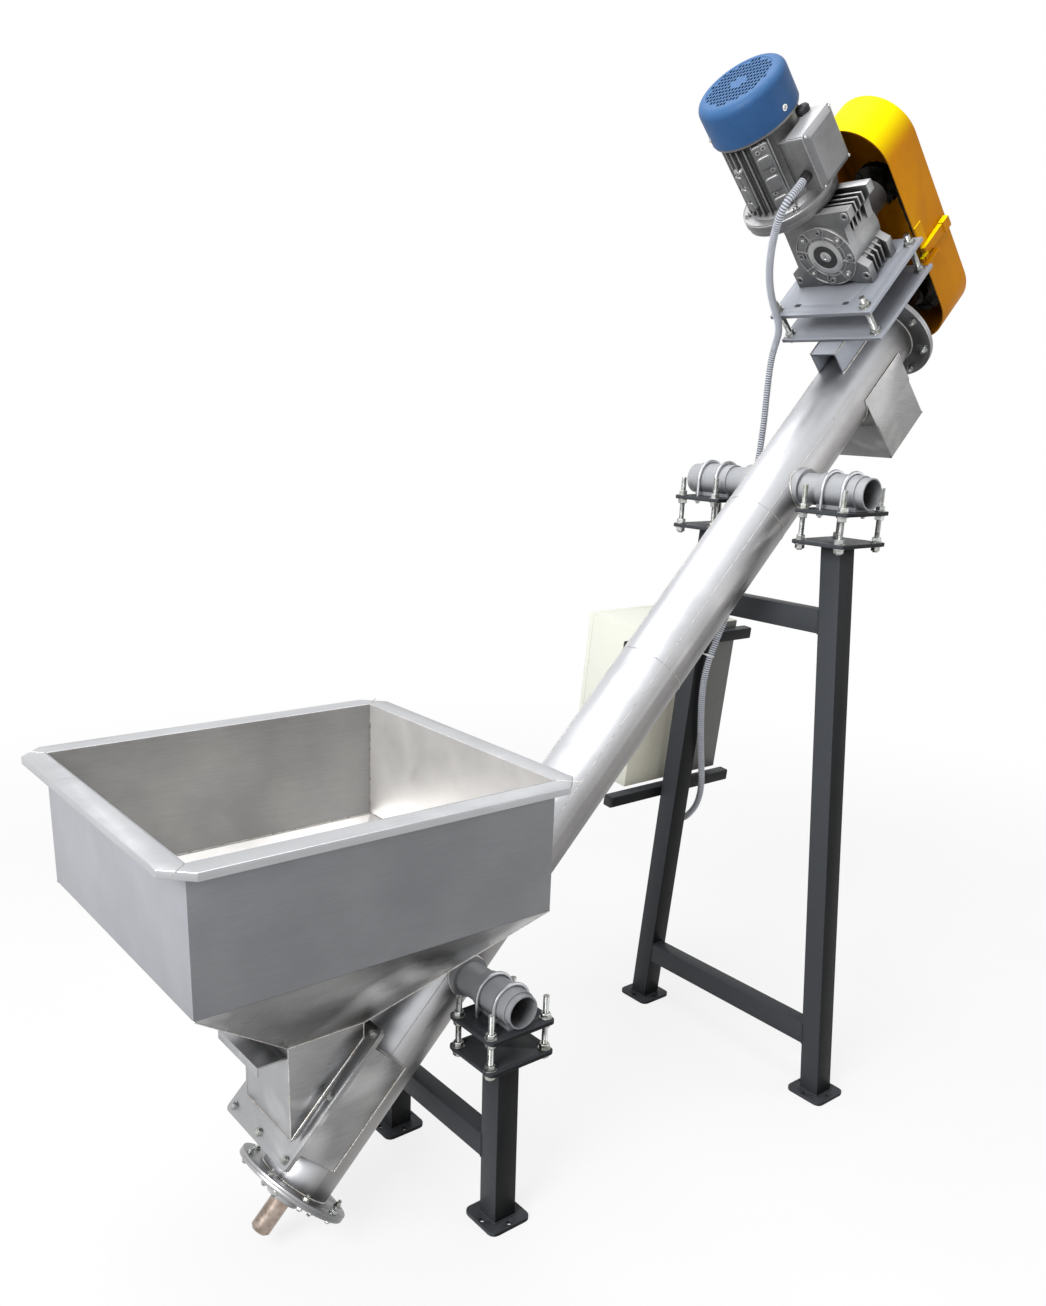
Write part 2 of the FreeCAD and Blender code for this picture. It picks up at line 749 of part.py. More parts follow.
def legY(s, footY, topY, z):
    top = trunnionCentre(s).z - headDrop
    return footY + (topY - footY) * (z - footT) / (top - footT)


def crossbar(s, footY, topY, top):
    at = trunnionCentre(s)
    x0 = at.x - legSize / 2
    z0 = top - barH
    ya = legY(s, footY, topY, z0) - legSize / 2
    yb = legY(s, footY, topY, top) - legSize / 2
    w = barWall
    outer = Part.Face(Part.makePolygon([V(x0, -ya, z0), V(x0, ya, z0), V(x0, yb, top), V(x0, -yb, top),
                                        V(x0, -ya, z0)])).extrude(V(barW, 0, 0))
    inner = box(x0 + w, x0 + barW - w, -ya - 50, ya + 50, z0 + w, top - w)
    return outer.cut(inner)


def footPlate(x, y):
    h = footSize / 2
    plate = roundedPlate(x - h, x + h, y - h, y + h, 0, footT, footCorner)
    holes = [cyl(footHoleR, footT + 2, V(x + dx, y + dy, -1), V(0, 0, 1))
             for dx, dy in ((footHoleCircleR, 0), (-footHoleCircleR, 0), (0, footHoleCircleR), (0, -footHoleCircleR))]
    return plate.cut(compound(holes))


def headPlate(x, y, z0):
    plate = roundedPlate(x - headPlateX / 2, x + headPlateX / 2, y - headPlateY / 2, y + headPlateY / 2,
                         z0, z0 + headPlateT, headCorner)
    holes = [bar(studR + holeClear, headPlateT + 2, V(x + dx, y + dy, z0 - 1)) for dx, dy in studPlaces()]
    return plate.cut(compound(holes))


def studPlaces():
    a, b = studPitchX / 2, studPitchY / 2
    return [(a, b), (-a, b), (-a, -b), (a, -b)]


def clampHoles(x, y, z0):
    a = trunnionR + sleeveT + uBoltR + uBoltClear
    r = uBoltR / math.cos(math.pi / uBoltSides) + holeClear
    return [bar(r, headPlateT + 2, V(x + dx, y + dy, z0 - 1))
            for dx in (a, -a) for dy in (uBoltPitch / 2, -uBoltPitch / 2)]


def headStuds(x, y, z):
    # z is the trunnion axis; nuts sit over and under both plates
    low = z - headDrop
    high = z - clampDrop
    out = []
    for dx, dy in studPlaces():
        at = V(x + dx, y + dy, low - nutT - 6)
        rod = bar(studR, high + studRise - at.z, at)
        nuts = [hexNut(nutR, nutT, V(x + dx, y + dy, z0)) for z0 in
                (low - nutT, low + headPlateT, high - headPlateT - nutT, high)]
        out.append(fuse(rod, *nuts))
    return out


def trunnion(s, side):
    at = trunnionCentre(s)
    y0 = tubeR - 40
    pipe = cyl(trunnionR, trunnionEndY - y0, V(at.x, side * y0, at.z), V(0, side, 0))
    collar = cyl(collarR, tubeR + collarW - y0, V(at.x, side * y0, at.z), V(0, side, 0))
    bore = cyl(trunnionR - trunnionWall, trunnionEndY, V(at.x, side * (tubeR + 4), at.z), V(0, side, 0))
    core = onTube(cyl(tubeR, 1000, V(s - 500, 0, 0), V(1, 0, 0)))
    return fuse(pipe, collar).cut(bore).cut(core)


def sleeve(x, y, z):
    r = trunnionR + sleeveT
    base = cyl(r, sleeveLen, V(x, y - sleeveLen / 2, z), V(0, 1, 0))
    block = box(x - saddleW / 2, x + saddleW / 2, y - sleeveLen / 2, y + sleeveLen / 2, z - clampDrop, z)
    return fuse(base, block).cut(cyl(trunnionR, sleeveLen + 2, V(x, y - sleeveLen / 2 - 1, z), V(0, 1, 0)))


def uBolt(x, y, z):
    # one bent bar: legs down through the clamp plate, a half ring over the sleeve
    a = trunnionR + sleeveT + uBoltR + uBoltClear
    low = z - clampDrop - headPlateT - uBoltTail
    half = math.pi / (2 * uBoltSteps)
    mitre = 1 / math.cos(half)
    stations = [(V(x + a, y, low), 0.0, 1.0)]
    for i in range(uBoltSteps):
        turn = half * (2 * i + 1)
        stations.append((V(x + a * mitre * math.cos(turn), y, z + a * mitre * math.sin(turn)), turn, mitre))
    stations.append((V(x - a, y, low), math.pi, 1.0))
    rings = []
    for centre, turn, stretch in stations:
        out = V(math.cos(turn), 0, math.sin(turn))
        rings.append([centre + out * (q.x * stretch) + V(0, q.y, 0) for q in polygon(uBoltSides, uBoltR)])
    faces = [Part.Face(Part.makePolygon(ring + ring[:1])) for ring in (rings[0], rings[-1])]
    for lower, upper in zip(rings, rings[1:]):
        for i in range(uBoltSides):
            k = (i + 1) % uBoltSides
            faces.append(Part.Face(Part.makePolygon([lower[i], lower[k], upper[k], upper[i], lower[i]])))
    rod = Part.makeSolid(Part.makeShell(faces))
    if rod.Volume < 0:
        rod.reverse()
    nuts = [hexNut(uBoltNutR, uBoltNutT, V(x + dx, y, z - clampDrop - headPlateT - uBoltNutT)) for dx in (a, -a)]
    return fuse(rod, *nuts)


# Drive carriage
def saddleTube():
    half, w = saddleTubeHalfW, saddleTubeWall
    outer = box(saddleLow, saddleHigh, -half, half, tubeR * 0.6, saddleTop())
    inner = box(saddleLow - 1, saddleHigh + 1, -half + w, half - w, 0, saddleTop() - w)
    core = cyl(tubeR, saddleHigh - saddleLow + 2, V(saddleLow - 1, 0, 0), V(1, 0, 0))
    return onTube(outer.cut(inner).cut(core))


def plateStudPlaces():
    return [(s, y) for s in (plateS0 + plateStudInS, plateS1 - plateStudInS)
            for y in (plateY0 + plateStudInNear, plateY1 - plateStudInFar)]


def carriagePlate(n0, slots):
    plate = box(plateS0, plateS1, plateY0, plateY1, n0, n0 + plateT)
    holes = [bar(plateStudR + holeClear, plateT + 2, V(s, y, n0 - 1)) for s, y in plateStudPlaces()]
    if slots:
        for y in plateSlotY:
            s = plateS0 + plateSlotIn
            holes.append(roundedPlate(s - plateSlotR, s + plateSlotR, y - plateSlotLen / 2, y + plateSlotLen / 2,
                                      n0 - 1, n0 + plateT + 1, plateSlotR - 0.5))
    return onTube(plate.cut(compound(holes)))


def plateStuds():
    low = saddleTop()
    high = motorPlateTop()
    out = []
    for s, y in plateStudPlaces():
        n0 = low - nutT - 4
        rod = bar(plateStudR, high + plateStudRise - n0, V(s, y, n0))
        nuts = [hexNut(nutR, nutT, V(s, y, n)) for n in
                (low - nutT, low + plateT, high - plateT - nutT, high)]
        out.append(onTube(fuse(rod, *nuts)))
    return compound(out)


def gearOutline(share):
    # the casting's square end with its four corner lugs: (y, n), drawn in towards its middle
    cy, cn = gearMiddle
    return [(cy + (y - cy) * share, cn + (n - cn) * share) for y, n in gearCorners]


def gearSlab(s0, s1, share):
    points = [V(s0, y, n) for y, n in gearOutline(share)]
    return Part.Face(Part.makePolygon(points + points[:1])).extrude(V(s1 - s0, 0, 0))


def gearboxHousing():
    # worm gearbox: a core with lugged end frames and ribs between them, wheel drum on the output
    # axis, worm case beside it with the neck of the motor flange, and a long hub to the sprocket
    s0, s1 = hubLow + faceIn, faceHigh
    slabs = [gearSlab(s0, s0 + lugT, 1.0), gearSlab(s1 - lugT, s1, 1.0), gearSlab(s0, s1, coreShare)]
    room = (s1 - s0 - 2 * lugT) / (ribCount + 1)
    for i in range(ribCount):
        middle = s0 + lugT + room * (i + 1)
        slabs.append(gearSlab(middle - ribT / 2, middle + ribT / 2, ribShare))
    drum = cyl(drumR, s1 - s0 + 2 * drumOut, V(s0 - drumOut, 0, gearN), V(1, 0, 0))
    hub = cyl(hubR, s0 - hubLow + 1, V(hubLow, 0, gearN), V(1, 0, 0))
    farHub = turned([(0, 0), (farHubR + 16, 0), (farHubR, 30), (farHubR, hubHigh - s1), (0, hubHigh - s1)],
                    V(s1, 0, gearN), V(1, 0, 0))
    worm = cyl(wormR, flangeInputN0 - wormLow, V(motorS, motorY, wormLow), V(0, 0, 1))
    neck = turned([(0, neckFoot), (wormR, neckFoot), (inputFlangeR - 22, flangeInputN0 - 6), (inputFlangeR, flangeInputN0),
                   (inputFlangeR, flangeMotorN0), (0, flangeMotorN0)], V(motorS, motorY, 0))
    body = fuse(*slabs, drum, hub, farHub, worm, neck)
    body = body.cut(cyl(outShaftR + runClear, hubHigh - hubLow + 20, V(hubLow - 10, 0, gearN), V(1, 0, 0)))
    return onTube(body.cut(cyl(sealR, sealT + 2, V(hubLow - 1, 0, gearN), V(1, 0, 0))))


def oilSeal():
    ring = cyl(sealR - 0.2, sealT, V(hubLow + 1, 0, gearN), V(1, 0, 0))
    return onTube(ring.cut(cyl(outShaftR + runClear, sealT + 4, V(hubLow - 1, 0, gearN), V(1, 0, 0))))


def outputShaft():
    s0 = hubLow + 2
    return onTube(cyl(outShaftR, sprocketS + 26 - s0, V(s0, 0, gearN), V(1, 0, 0)))


def motorBody():
    low, high = flangeMotorN0 + runClear, flangeMotorN1
    end = fanN0 - 8
    profile = [(0, low), (flangeMotorR, low), (flangeMotorR, high - 4), (flangeMotorR - 4, high),
               (motorR + 12, high), (motorR, high + 16), (motorR, end), (fanR - fanWall - 0.3, end),
               (fanR - fanWall - 0.3, fanN0 + 14), (0, fanN0 + 14)]
    core = turned(profile, V(motorS, motorY, 0))
    fins = []
    for i in range(finCount):
        a = 360.0 / finCount * i
        if finGapLow < a < finGapHigh:
            continue
        fin = box(motorR - 6, motorFinR, -finT / 2, finT / 2, high + 12, end - 10)
        turn = FreeCAD.Rotation(V(0, 0, 1), a)
        fins.append(placed(fin, FreeCAD.Placement(V(motorS, motorY, 0), turn)))
    pad = box(motorS - 58, motorS + 58, tboxRootY, motorY, tboxN0 + 20, tboxN1 - 20)
    return onTube(fuse(core, pad, *fins))


def fanCover():
    # drawn sheet cap over the fan, with slots through its top round a plain centre
    c = fanRound
    h = fanN1 - fanN0
    w = fanWall
    steps = [math.radians(90.0 * i / fanRoundSteps) for i in range(fanRoundSteps + 1)]
    outer = [(fanR - c + c * math.cos(a), h - c + c * math.sin(a)) for a in steps]
    inner = [(fanR - c + (c - w) * math.cos(a), h - c + (c - w) * math.sin(a)) for a in reversed(steps)]
    cap = turned([(fanR, 0)] + outer + [(0, h), (0, h - w)] + inner + [(fanR - w, 0)], V(motorS, motorY, fanN0))
    slots = []
    half = fanR - c - 2
    y = -half + fanSlotPitch / 2
    while y < half:
        reach = math.sqrt(half * half - y * y)
        for side in (1, -1):
            near = fanBlankR if abs(y) < fanBlankR else 4.0
            if reach - near > 12:
                x0, x1 = sorted((side * near, side * reach))
                slots.append(box(motorS + x0, motorS + x1, motorY + y - fanSlotW / 2, motorY + y + fanSlotW / 2,
                                 fanN1 - w - 1, fanN1 + 1))
        y += fanSlotPitch
    return onTube(cap.cut(compound(slots)))


def terminalBox():
    s0, s1 = motorS - tboxHalfS, motorS + tboxHalfS
    body = roundedPlate(s0, s1, tboxN0, tboxN1, 0, tboxRootY - tboxFaceY, tboxCorner)
    w = tboxWall
    inside = box(s0 + w, s1 - w, tboxN0 + w, tboxN1 - w, w, tboxRootY - tboxFaceY + 1)
    body = body.cut(inside)
    up = FreeCAD.Placement(V(0, tboxRootY, 0), FreeCAD.Rotation(V(1, 0, 0), 90))
    return onTube(placed(body, up))


def terminalLid():
    s0, s1 = motorS - tboxHalfS, motorS + tboxHalfS
    lid = roundedPlate(s0, s1, tboxN0, tboxN1, 0, lidT, tboxCorner)
    up = FreeCAD.Placement(V(0, tboxFaceY, 0), FreeCAD.Rotation(V(1, 0, 0), 90))
    return onTube(placed(lid, up))


# Control cabinet, leaning with the rear left leg
def leanPlacement():
    run = rearFootY - rearTopY
    rise = trunnionCentre(rearS).z - headDrop - footT
    angle = math.degrees(math.atan2(run, rise))
    return FreeCAD.Placement(V(0, rearFootY + legSize / 2, footT), FreeCAD.Rotation(V(1, 0, 0), angle))


def cabinetBody():
    y0 = channelSize
    w = cabWall
    y1 = y0 + cabD - cabDoorT
    shell = box(cabX0, cabX0 + cabW, y0, y1, cabZ0, cabZ0 + cabH)
    inside = box(cabX0 + w, cabX0 + cabW - w, y0 + w, y1 + 1, cabZ0 + w, cabZ0 + cabH - w)
    return placed(shell.cut(inside), leanPlacement())


def cabinetDoor():
    y1 = channelSize + cabD
    w = cabWall
    door = box(cabX0, cabX0 + cabW, y1 - cabDoorT, y1, cabZ0, cabZ0 + cabH)
    inside = box(cabX0 + w, cabX0 + cabW - w, y1 - cabDoorT - 1, y1 - w, cabZ0 + w, cabZ0 + cabH - w)
    return placed(door.cut(inside), leanPlacement())


def cabinetChannels():
    out = []
    for z in (channelLowZ, channelHighZ):
        channel = box(channelX0, channelX1, 0, channelSize, z - channelSize / 2, z + channelSize / 2)
        out.append(placed(channel, leanPlacement()))
    return compound(out)


def build():
    front, rear = trunnionCentre(frontS), trunnionCentre(rearS)
    heads = [(front, side * frontTopY) for side in (1, -1)] + [(rear, side * rearTopY) for side in (1, -1)]
    feet = [(front, side * frontFootY) for side in (1, -1)] + [(rear, side * rearFootY) for side in (1, -1)]
    save("foot_plates", compound([footPlate(at.x, y) for at, y in feet]))
    for name, s, footY, topY in (("front", frontS, frontFootY, frontTopY), ("rear", rearS, rearFootY, rearTopY)):
        save(name + "_left_leg", leg(s, footY, topY, 1))
        save(name + "_right_leg", leg(s, footY, topY, -1))
    save("front_crossbar", crossbar(frontS, frontFootY, frontTopY, frontBarTop))
    save("rear_lower_crossbar", crossbar(rearS, rearFootY, rearTopY, rearLowBarTop))
    save("rear_upper_crossbar", crossbar(rearS, rearFootY, rearTopY, rearHighBarTop))
    save("head_plates", compound([headPlate(at.x, y, at.z - headDrop) for at, y in heads]))
    clamps = []
    for at, y in heads:
        z0 = at.z - clampDrop - headPlateT
        clamps.append(headPlate(at.x, y, z0).cut(compound(clampHoles(at.x, y, z0))))
    save("clamp_plates", compound(clamps))
    studs = []
    for at, y in heads:
        studs += headStuds(at.x, y, at.z)
    save("head_studs", compound(studs))
    save("trunnions", compound([trunnion(s, side) for s in (frontS, rearS) for side in (1, -1)]))
    save("trunnion_sleeves", compound([sleeve(at.x, y, at.z) for at, y in heads]))
    save("u_bolts", compound([uBolt(at.x, y + d * uBoltPitch / 2, at.z) for at, y in heads for d in (1, -1)]))
    save("conveyor_tube", conveyorTube())
    save("tube_end_flanges", tubeEndFlanges())
    save("end_plates", endPlates())
    save("end_bearings", endBearings())
    save("inlet_box", inletBox())
    save("inlet_flange", inletFlange())
    save("throat_flange", throatFlange())
    save("throat", throat())
    save("slide_gate", slideGate())
    save("hopper_transition", hopperTransition())
    save("hopper_box", hopperBox())
    save("hopper_rim", hopperRim())
    save("discharge_chute", dischargeChute())
    save("screw_shaft", screwShaft())
    save("screw_flight", screwFlight())
    save("driven_sprocket", sprocket(drivenTeeth, 0, shaftR, 34, 44, sprocketS))
    save("saddle_tube", saddleTube())
    save("drive_base_plate", carriagePlate(saddleTop(), False))
    save("motor_plate", carriagePlate(motorPlateTop() - plateT, True))
    save("plate_studs", plateStuds())
    save("gearbox_housing", gearboxHousing())
    save("oil_seal", oilSeal())
    save("output_shaft", outputShaft())
    save("drive_sprocket", sprocket(driveTeeth, gearN, outShaftR, 30, 36, sprocketS))
    save("drive_chain", driveChain())
    save("chain_guard", chainGuard())
    save("motor_body", motorBody())
    save("fan_cover", fanCover())
    save("terminal_box", terminalBox())
    save("terminal_lid", terminalLid())
    save("cabinet_body", cabinetBody())
    save("cabinet_door", cabinetDoor())
    save("cabinet_channels", cabinetChannels())
    save("conduit", conduit())
    save("conduit_glands", conduitGlands())


build()
overall = FreeCAD.BoundBox()
for name, shape in nodes.items():
    if name != "conduit":
        overall.add(shape.BoundBox)
shift = V(-overall.Center.x, -overall.Center.y, -overall.ZMin)
os.makedirs("parts", exist_ok=True)
for name, shape in nodes.items():
    moved = shape.copy()
    moved.translate(shift)
    moved.exportStep("parts/" + name + ".step")
print("shift", round(shift.x, 2), round(shift.y, 2), round(shift.z, 2))
print("size", round(overall.XLength, 1), round(overall.YLength, 1), round(overall.ZLength, 1), "nodes", len(nodes))
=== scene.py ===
# Looks of an inclined screw conveyor: steel hopper and tube, two painted stands, guarded chain drive.
import math
import random

import bmesh
import bpy
from mathutils import Matrix, Vector


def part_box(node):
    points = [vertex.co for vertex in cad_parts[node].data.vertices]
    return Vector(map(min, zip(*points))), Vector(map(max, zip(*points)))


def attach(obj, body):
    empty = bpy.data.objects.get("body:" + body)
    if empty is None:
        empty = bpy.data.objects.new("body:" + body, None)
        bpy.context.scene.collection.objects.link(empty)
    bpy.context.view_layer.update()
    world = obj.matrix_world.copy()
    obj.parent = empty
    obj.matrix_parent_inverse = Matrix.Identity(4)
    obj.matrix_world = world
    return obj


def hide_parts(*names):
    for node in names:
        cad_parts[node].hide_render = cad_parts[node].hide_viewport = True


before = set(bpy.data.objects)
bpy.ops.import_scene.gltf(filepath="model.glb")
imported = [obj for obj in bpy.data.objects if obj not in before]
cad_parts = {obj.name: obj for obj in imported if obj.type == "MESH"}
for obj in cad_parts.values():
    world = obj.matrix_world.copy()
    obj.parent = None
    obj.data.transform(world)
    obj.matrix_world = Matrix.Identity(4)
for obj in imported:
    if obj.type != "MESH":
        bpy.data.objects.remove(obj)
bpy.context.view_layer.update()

# Places: "plant" is the conveyor's own frame in mm
# "tube" runs up along the tube (s), across (y) and square to it (n)
layout = {"tubeAngle": 46.0, "frontS": 1008.0, "rearS": 2912.0, "footSize": 146.0,
          "headDrop": 165.0, "clampDrop": 55.5, "frontHeadY": 275.0, "rearHeadY": 263.0,
          "frontFootY": 283.0, "rearFootY": 436.0}
tubeAngle = math.radians(layout["tubeAngle"])
sinA, cosA = math.sin(tubeAngle), math.cos(tubeAngle)
footLow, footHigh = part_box("foot_plates")
plantOrigin = Vector((footLow.x - (layout["frontS"] * cosA - layout["footSize"] / 2) / 1000,
                      (footLow.y + footHigh.y) / 2, 0))
tubeTurn = Matrix(((cosA, 0, -sinA), (0, 1, 0), (sinA, 0, cosA))).to_4x4()
tubeFrame = Matrix.Translation(plantOrigin) @ tubeTurn @ Matrix.Scale(0.001, 4)
plantFrame = Matrix.Translation(plantOrigin) @ Matrix.Scale(0.001, 4)


def plantPoint(x, y, z):
    return plantFrame @ Vector((x, y, z))


def tubePoint(s, y, n):
    return tubeFrame @ Vector((s, y, n))


# Small helpers for objects and meshes
def newObject(name, data):
    obj = bpy.data.objects.new(name, data)
    bpy.context.scene.collection.objects.link(obj)
    return obj


def smoothMesh(mesh, angle=32.0):
    mesh.polygons.foreach_set("use_smooth", [True] * len(mesh.polygons))
    mesh.set_sharp_from_angle(angle=math.radians(angle))


def meshObject(name, verts, faces, finish, matrix=None, angle=32.0):
    mesh = bpy.data.meshes.new(name)
    mesh.from_pydata([tuple(v) for v in verts], [], faces)
    if matrix is not None:
        mesh.transform(matrix)
    mesh.validate()
    bm = bmesh.new()
    bm.from_mesh(mesh)
    bmesh.ops.recalc_face_normals(bm, faces=bm.faces)
    bm.to_mesh(mesh)
    bm.free()
    smoothMesh(mesh, angle)
    mesh.materials.append(finishes[finish] if finish else None)
    return newObject(name, mesh)


def placeAt(origin, along, side=(0, 0, 1)):
    # a frame with its third axis along the given way and its first as near the side as it goes
    along = Vector(along).normalized()
    side = Vector(side)
    if abs(side.normalized().dot(along)) > 0.99:
        side = Vector((1, 0, 0))
    side = (side - along * side.dot(along)).normalized()
    return Matrix.Translation(origin) @ Matrix((side, along.cross(side), along)).transposed().to_4x4()


def onTube(point, along, side=(0, 0, 1)):
    return tubeFrame @ placeAt(point, along, side)


def circle(radius, height, count=24, start=0.0):
    steps = [2 * math.pi * i / count + start for i in range(count)]
    return [(radius * math.cos(a), radius * math.sin(a), height) for a in steps]


def turned(profile, count):
    return [circle(radius, height, count) for radius, height in profile]


def roundRect(halfX, halfY, r, height, steps=5):
    points = []
    for cx, cy, start in ((halfX - r, halfY - r, 0), (r - halfX, halfY - r, 90), (r - halfX, r - halfY, 180),
                          (halfX - r, r - halfY, 270)):
        for i in range(steps + 1):
            a = math.radians(start + 90.0 * i / steps)
            points.append((cx + r * math.cos(a), cy + r * math.sin(a), height))
    return points


def ringed(name, rings, finish, matrix=None, hollow=False, angle=32.0):
    # a skin over outlines of equal count; a hollow one closes on its first outline
    count = len(rings[0])
    verts = [p for ring in rings for p in ring]
    faces = []
    for k in range(len(rings) if hollow else len(rings) - 1):
        a, b = k * count, (k + 1) % len(rings) * count
        faces += [(a + i, a + (i + 1) % count, b + (i + 1) % count, b + i) for i in range(count)]
    if not hollow:
        faces += [tuple(range(count)), tuple(range(len(verts) - count, len(verts)))]
    return meshObject(name, verts, faces, finish, matrix, angle)


def joined(name, objects):
    # several meshes of one finish as one piece
    bm = bmesh.new()
    for obj in objects:
        bm.from_mesh(obj.data)
    mesh = bpy.data.meshes.new(name)
    bm.to_mesh(mesh)
    bm.free()
    mesh.materials.append(objects[0].data.materials[0])
    for obj in objects:
        bpy.data.objects.remove(obj)
    smoothMesh(mesh)
    return newObject(name, mesh)


def evaluated(obj):
    # the object with its modifiers made real, as a plain mesh under the same name
    graph = bpy.context.evaluated_depsgraph_get()
    mesh = bpy.data.meshes.new_from_object(obj.evaluated_get(graph), depsgraph=graph)
    name = obj.name
    bpy.data.objects.remove(obj)
    return newObject(name, mesh)


def keepPiece(obj, slot, *nodes, body="frame"):
    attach(obj, body)
    if nodes:
        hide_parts(*nodes)
    return obj


# Node helpers, used by materials and by Geometry Nodes
def addNode(tree, kind, settings=None, **inputs):
    made = tree.nodes.new(kind)
    for key, value in (settings or {}).items():
        setattr(made, key, value)
    for key, value in inputs.items():
        socket = made.inputs[int(key[1:])] if key[0] == "i" and key[1:].isdigit() else made.inputs[key]
        if isinstance(value, bpy.types.NodeSocket):
            tree.links.new(value, socket)
        else:
            socket.default_value = value
    return made


def math2(tree, operation, a, b=0.0):
    return addNode(tree, "ShaderNodeMath", {"operation": operation}, i0=a, i1=b).outputs[0]


def rampOf(tree, value, stops):
    made = addNode(tree, "ShaderNodeValToRGB", None, Fac=value)
    ramp = made.color_ramp
    while len(ramp.elements) < len(stops):
        ramp.elements.new(0.5)
    for element, (place, colour) in zip(ramp.elements, stops):
        element.position = place
        element.color = (*colour, 1) if len(colour) == 3 else colour
    return made.outputs["Color"]


def grey(value):
    return (value, value, value)


def noiseOf(tree, coords, scale, detail=3.0, rough=0.5, stretch=(1, 1, 1), turn=0.0):
    place = addNode(tree, "ShaderNodeMapping", None, Vector=coords)
    place.inputs["Scale"].default_value = stretch
    place.inputs["Rotation"].default_value = (0, turn, 0)
    made = addNode(tree, "ShaderNodeTexNoise", None, Vector=place.outputs[0], Scale=scale, Detail=detail,
                   Roughness=rough)
    return made.outputs["Fac"]


def rangeOf(tree, value, low, high, toLow=0.0, toHigh=1.0, soft=False):
    made = addNode(tree, "ShaderNodeMapRange", {"interpolation_type": "SMOOTHSTEP"} if soft else None,
                   Value=value)
    for label, number in (("From Min", low), ("From Max", high), ("To Min", toLow), ("To Max", toHigh)):
        made.inputs[label].default_value = number
    return made.outputs[0]


def between(tree, value, low, high):
    # maps a noise value, mostly 0.3 to 0.7, onto low..high
    return rangeOf(tree, value, 0.3, 0.7, low, high)


def dotOf(tree, a, b):
    return addNode(tree, "ShaderNodeVectorMath", {"operation": "DOT_PRODUCT"}, i0=a, i1=b).outputs["Value"]


def facing(tree):
    return addNode(tree, "ShaderNodeNewGeometry").outputs["Normal"]


def partOf(tree, vector, axis):
    return addNode(tree, "ShaderNodeSeparateXYZ", None, Vector=vector).outputs[axis]


def openness(tree, distance, local=True):
    # 1 on open faces, towards 0 in hollows
    return addNode(tree, "ShaderNodeAmbientOcclusion", {"samples": 6, "only_local": local},
                   Distance=distance).outputs["AO"]


def twoNoises(tree, first, share, second):
    return math2(tree, "ADD", math2(tree, "MULTIPLY", first, share),
                 math2(tree, "MULTIPLY", second, 1.0 - share))


def newMaterial(name):
    material = bpy.data.materials.new(name)
    material.use_nodes = True
    tree = material.node_tree
    coords = addNode(tree, "ShaderNodeTexCoord").outputs["Object"]
    return material, tree, tree.nodes["Principled BSDF"], coords


def dress(tree, shader, **values):
    # sets or links the shader's inputs, with _ for a space in a name
    for key, value in values.items():
        socket = shader.inputs[key.replace("_", " ")]
        if isinstance(value, bpy.types.NodeSocket):
            tree.links.new(value, socket)
        else:
            socket.default_value = value


def mixColour(tree, share, a, b):
    made = addNode(tree, "ShaderNodeMix", {"data_type": "RGBA"})
    for socket, value in ((made.inputs[0], share), (made.inputs[6], a), (made.inputs[7], b)):
        if isinstance(value, bpy.types.NodeSocket):
            tree.links.new(value, socket)
        else:
            socket.default_value = value if isinstance(value, float) else (*value, 1)
    return made.outputs[2]


def bumpOf(tree, height, strength, distance, before=None):
    made = addNode(tree, "ShaderNodeBump", None, Height=height, Strength=strength, Distance=distance)
    if before is not None:
        tree.links.new(before, made.inputs["Normal"])
    return made.outputs[0]


def edgeShare(tree, radius, low=0.012, high=0.10):
    # 1 on sharp outer edges, 0 on flat faces
    bevel = addNode(tree, "ShaderNodeBevel", {"samples": 4}, Radius=radius)
    return rangeOf(tree, math2(tree, "SUBTRACT", 1.0, dotOf(tree, bevel.outputs[0], facing(tree))), low, high)


# painted light: the way that faces turn to be painted lighter, and how far down a face turns before it is
# painted darker
paintedLightWay = {"way": (-0.72, 0.0, 0.69), "from": 0.05, "full": 0.80, "underFrom": -0.15, "underFull": -0.75}


def paintedLightByFacing(tree, colour, paintedLit, paintedUnderShade=0.0):
    # painted light and shade: faces that look up or towards the hopper's end are painted lighter, and faces
    # that look down are painted darker
    normal = facing(tree)
    if paintedLit is not None:
        colour = mixColour(tree, rangeOf(tree, dotOf(tree, normal, paintedLightWay["way"]), paintedLightWay["from"], paintedLightWay["full"],
                                         soft=True), colour, paintedLit)
    if paintedUnderShade:
        share = rangeOf(tree, partOf(tree, normal, "Z"), paintedLightWay["underFrom"], paintedLightWay["underFull"], 0.0, paintedUnderShade,
                        True)
        colour = mixColour(tree, share, colour, (0.022, 0.022, 0.023))
    return colour


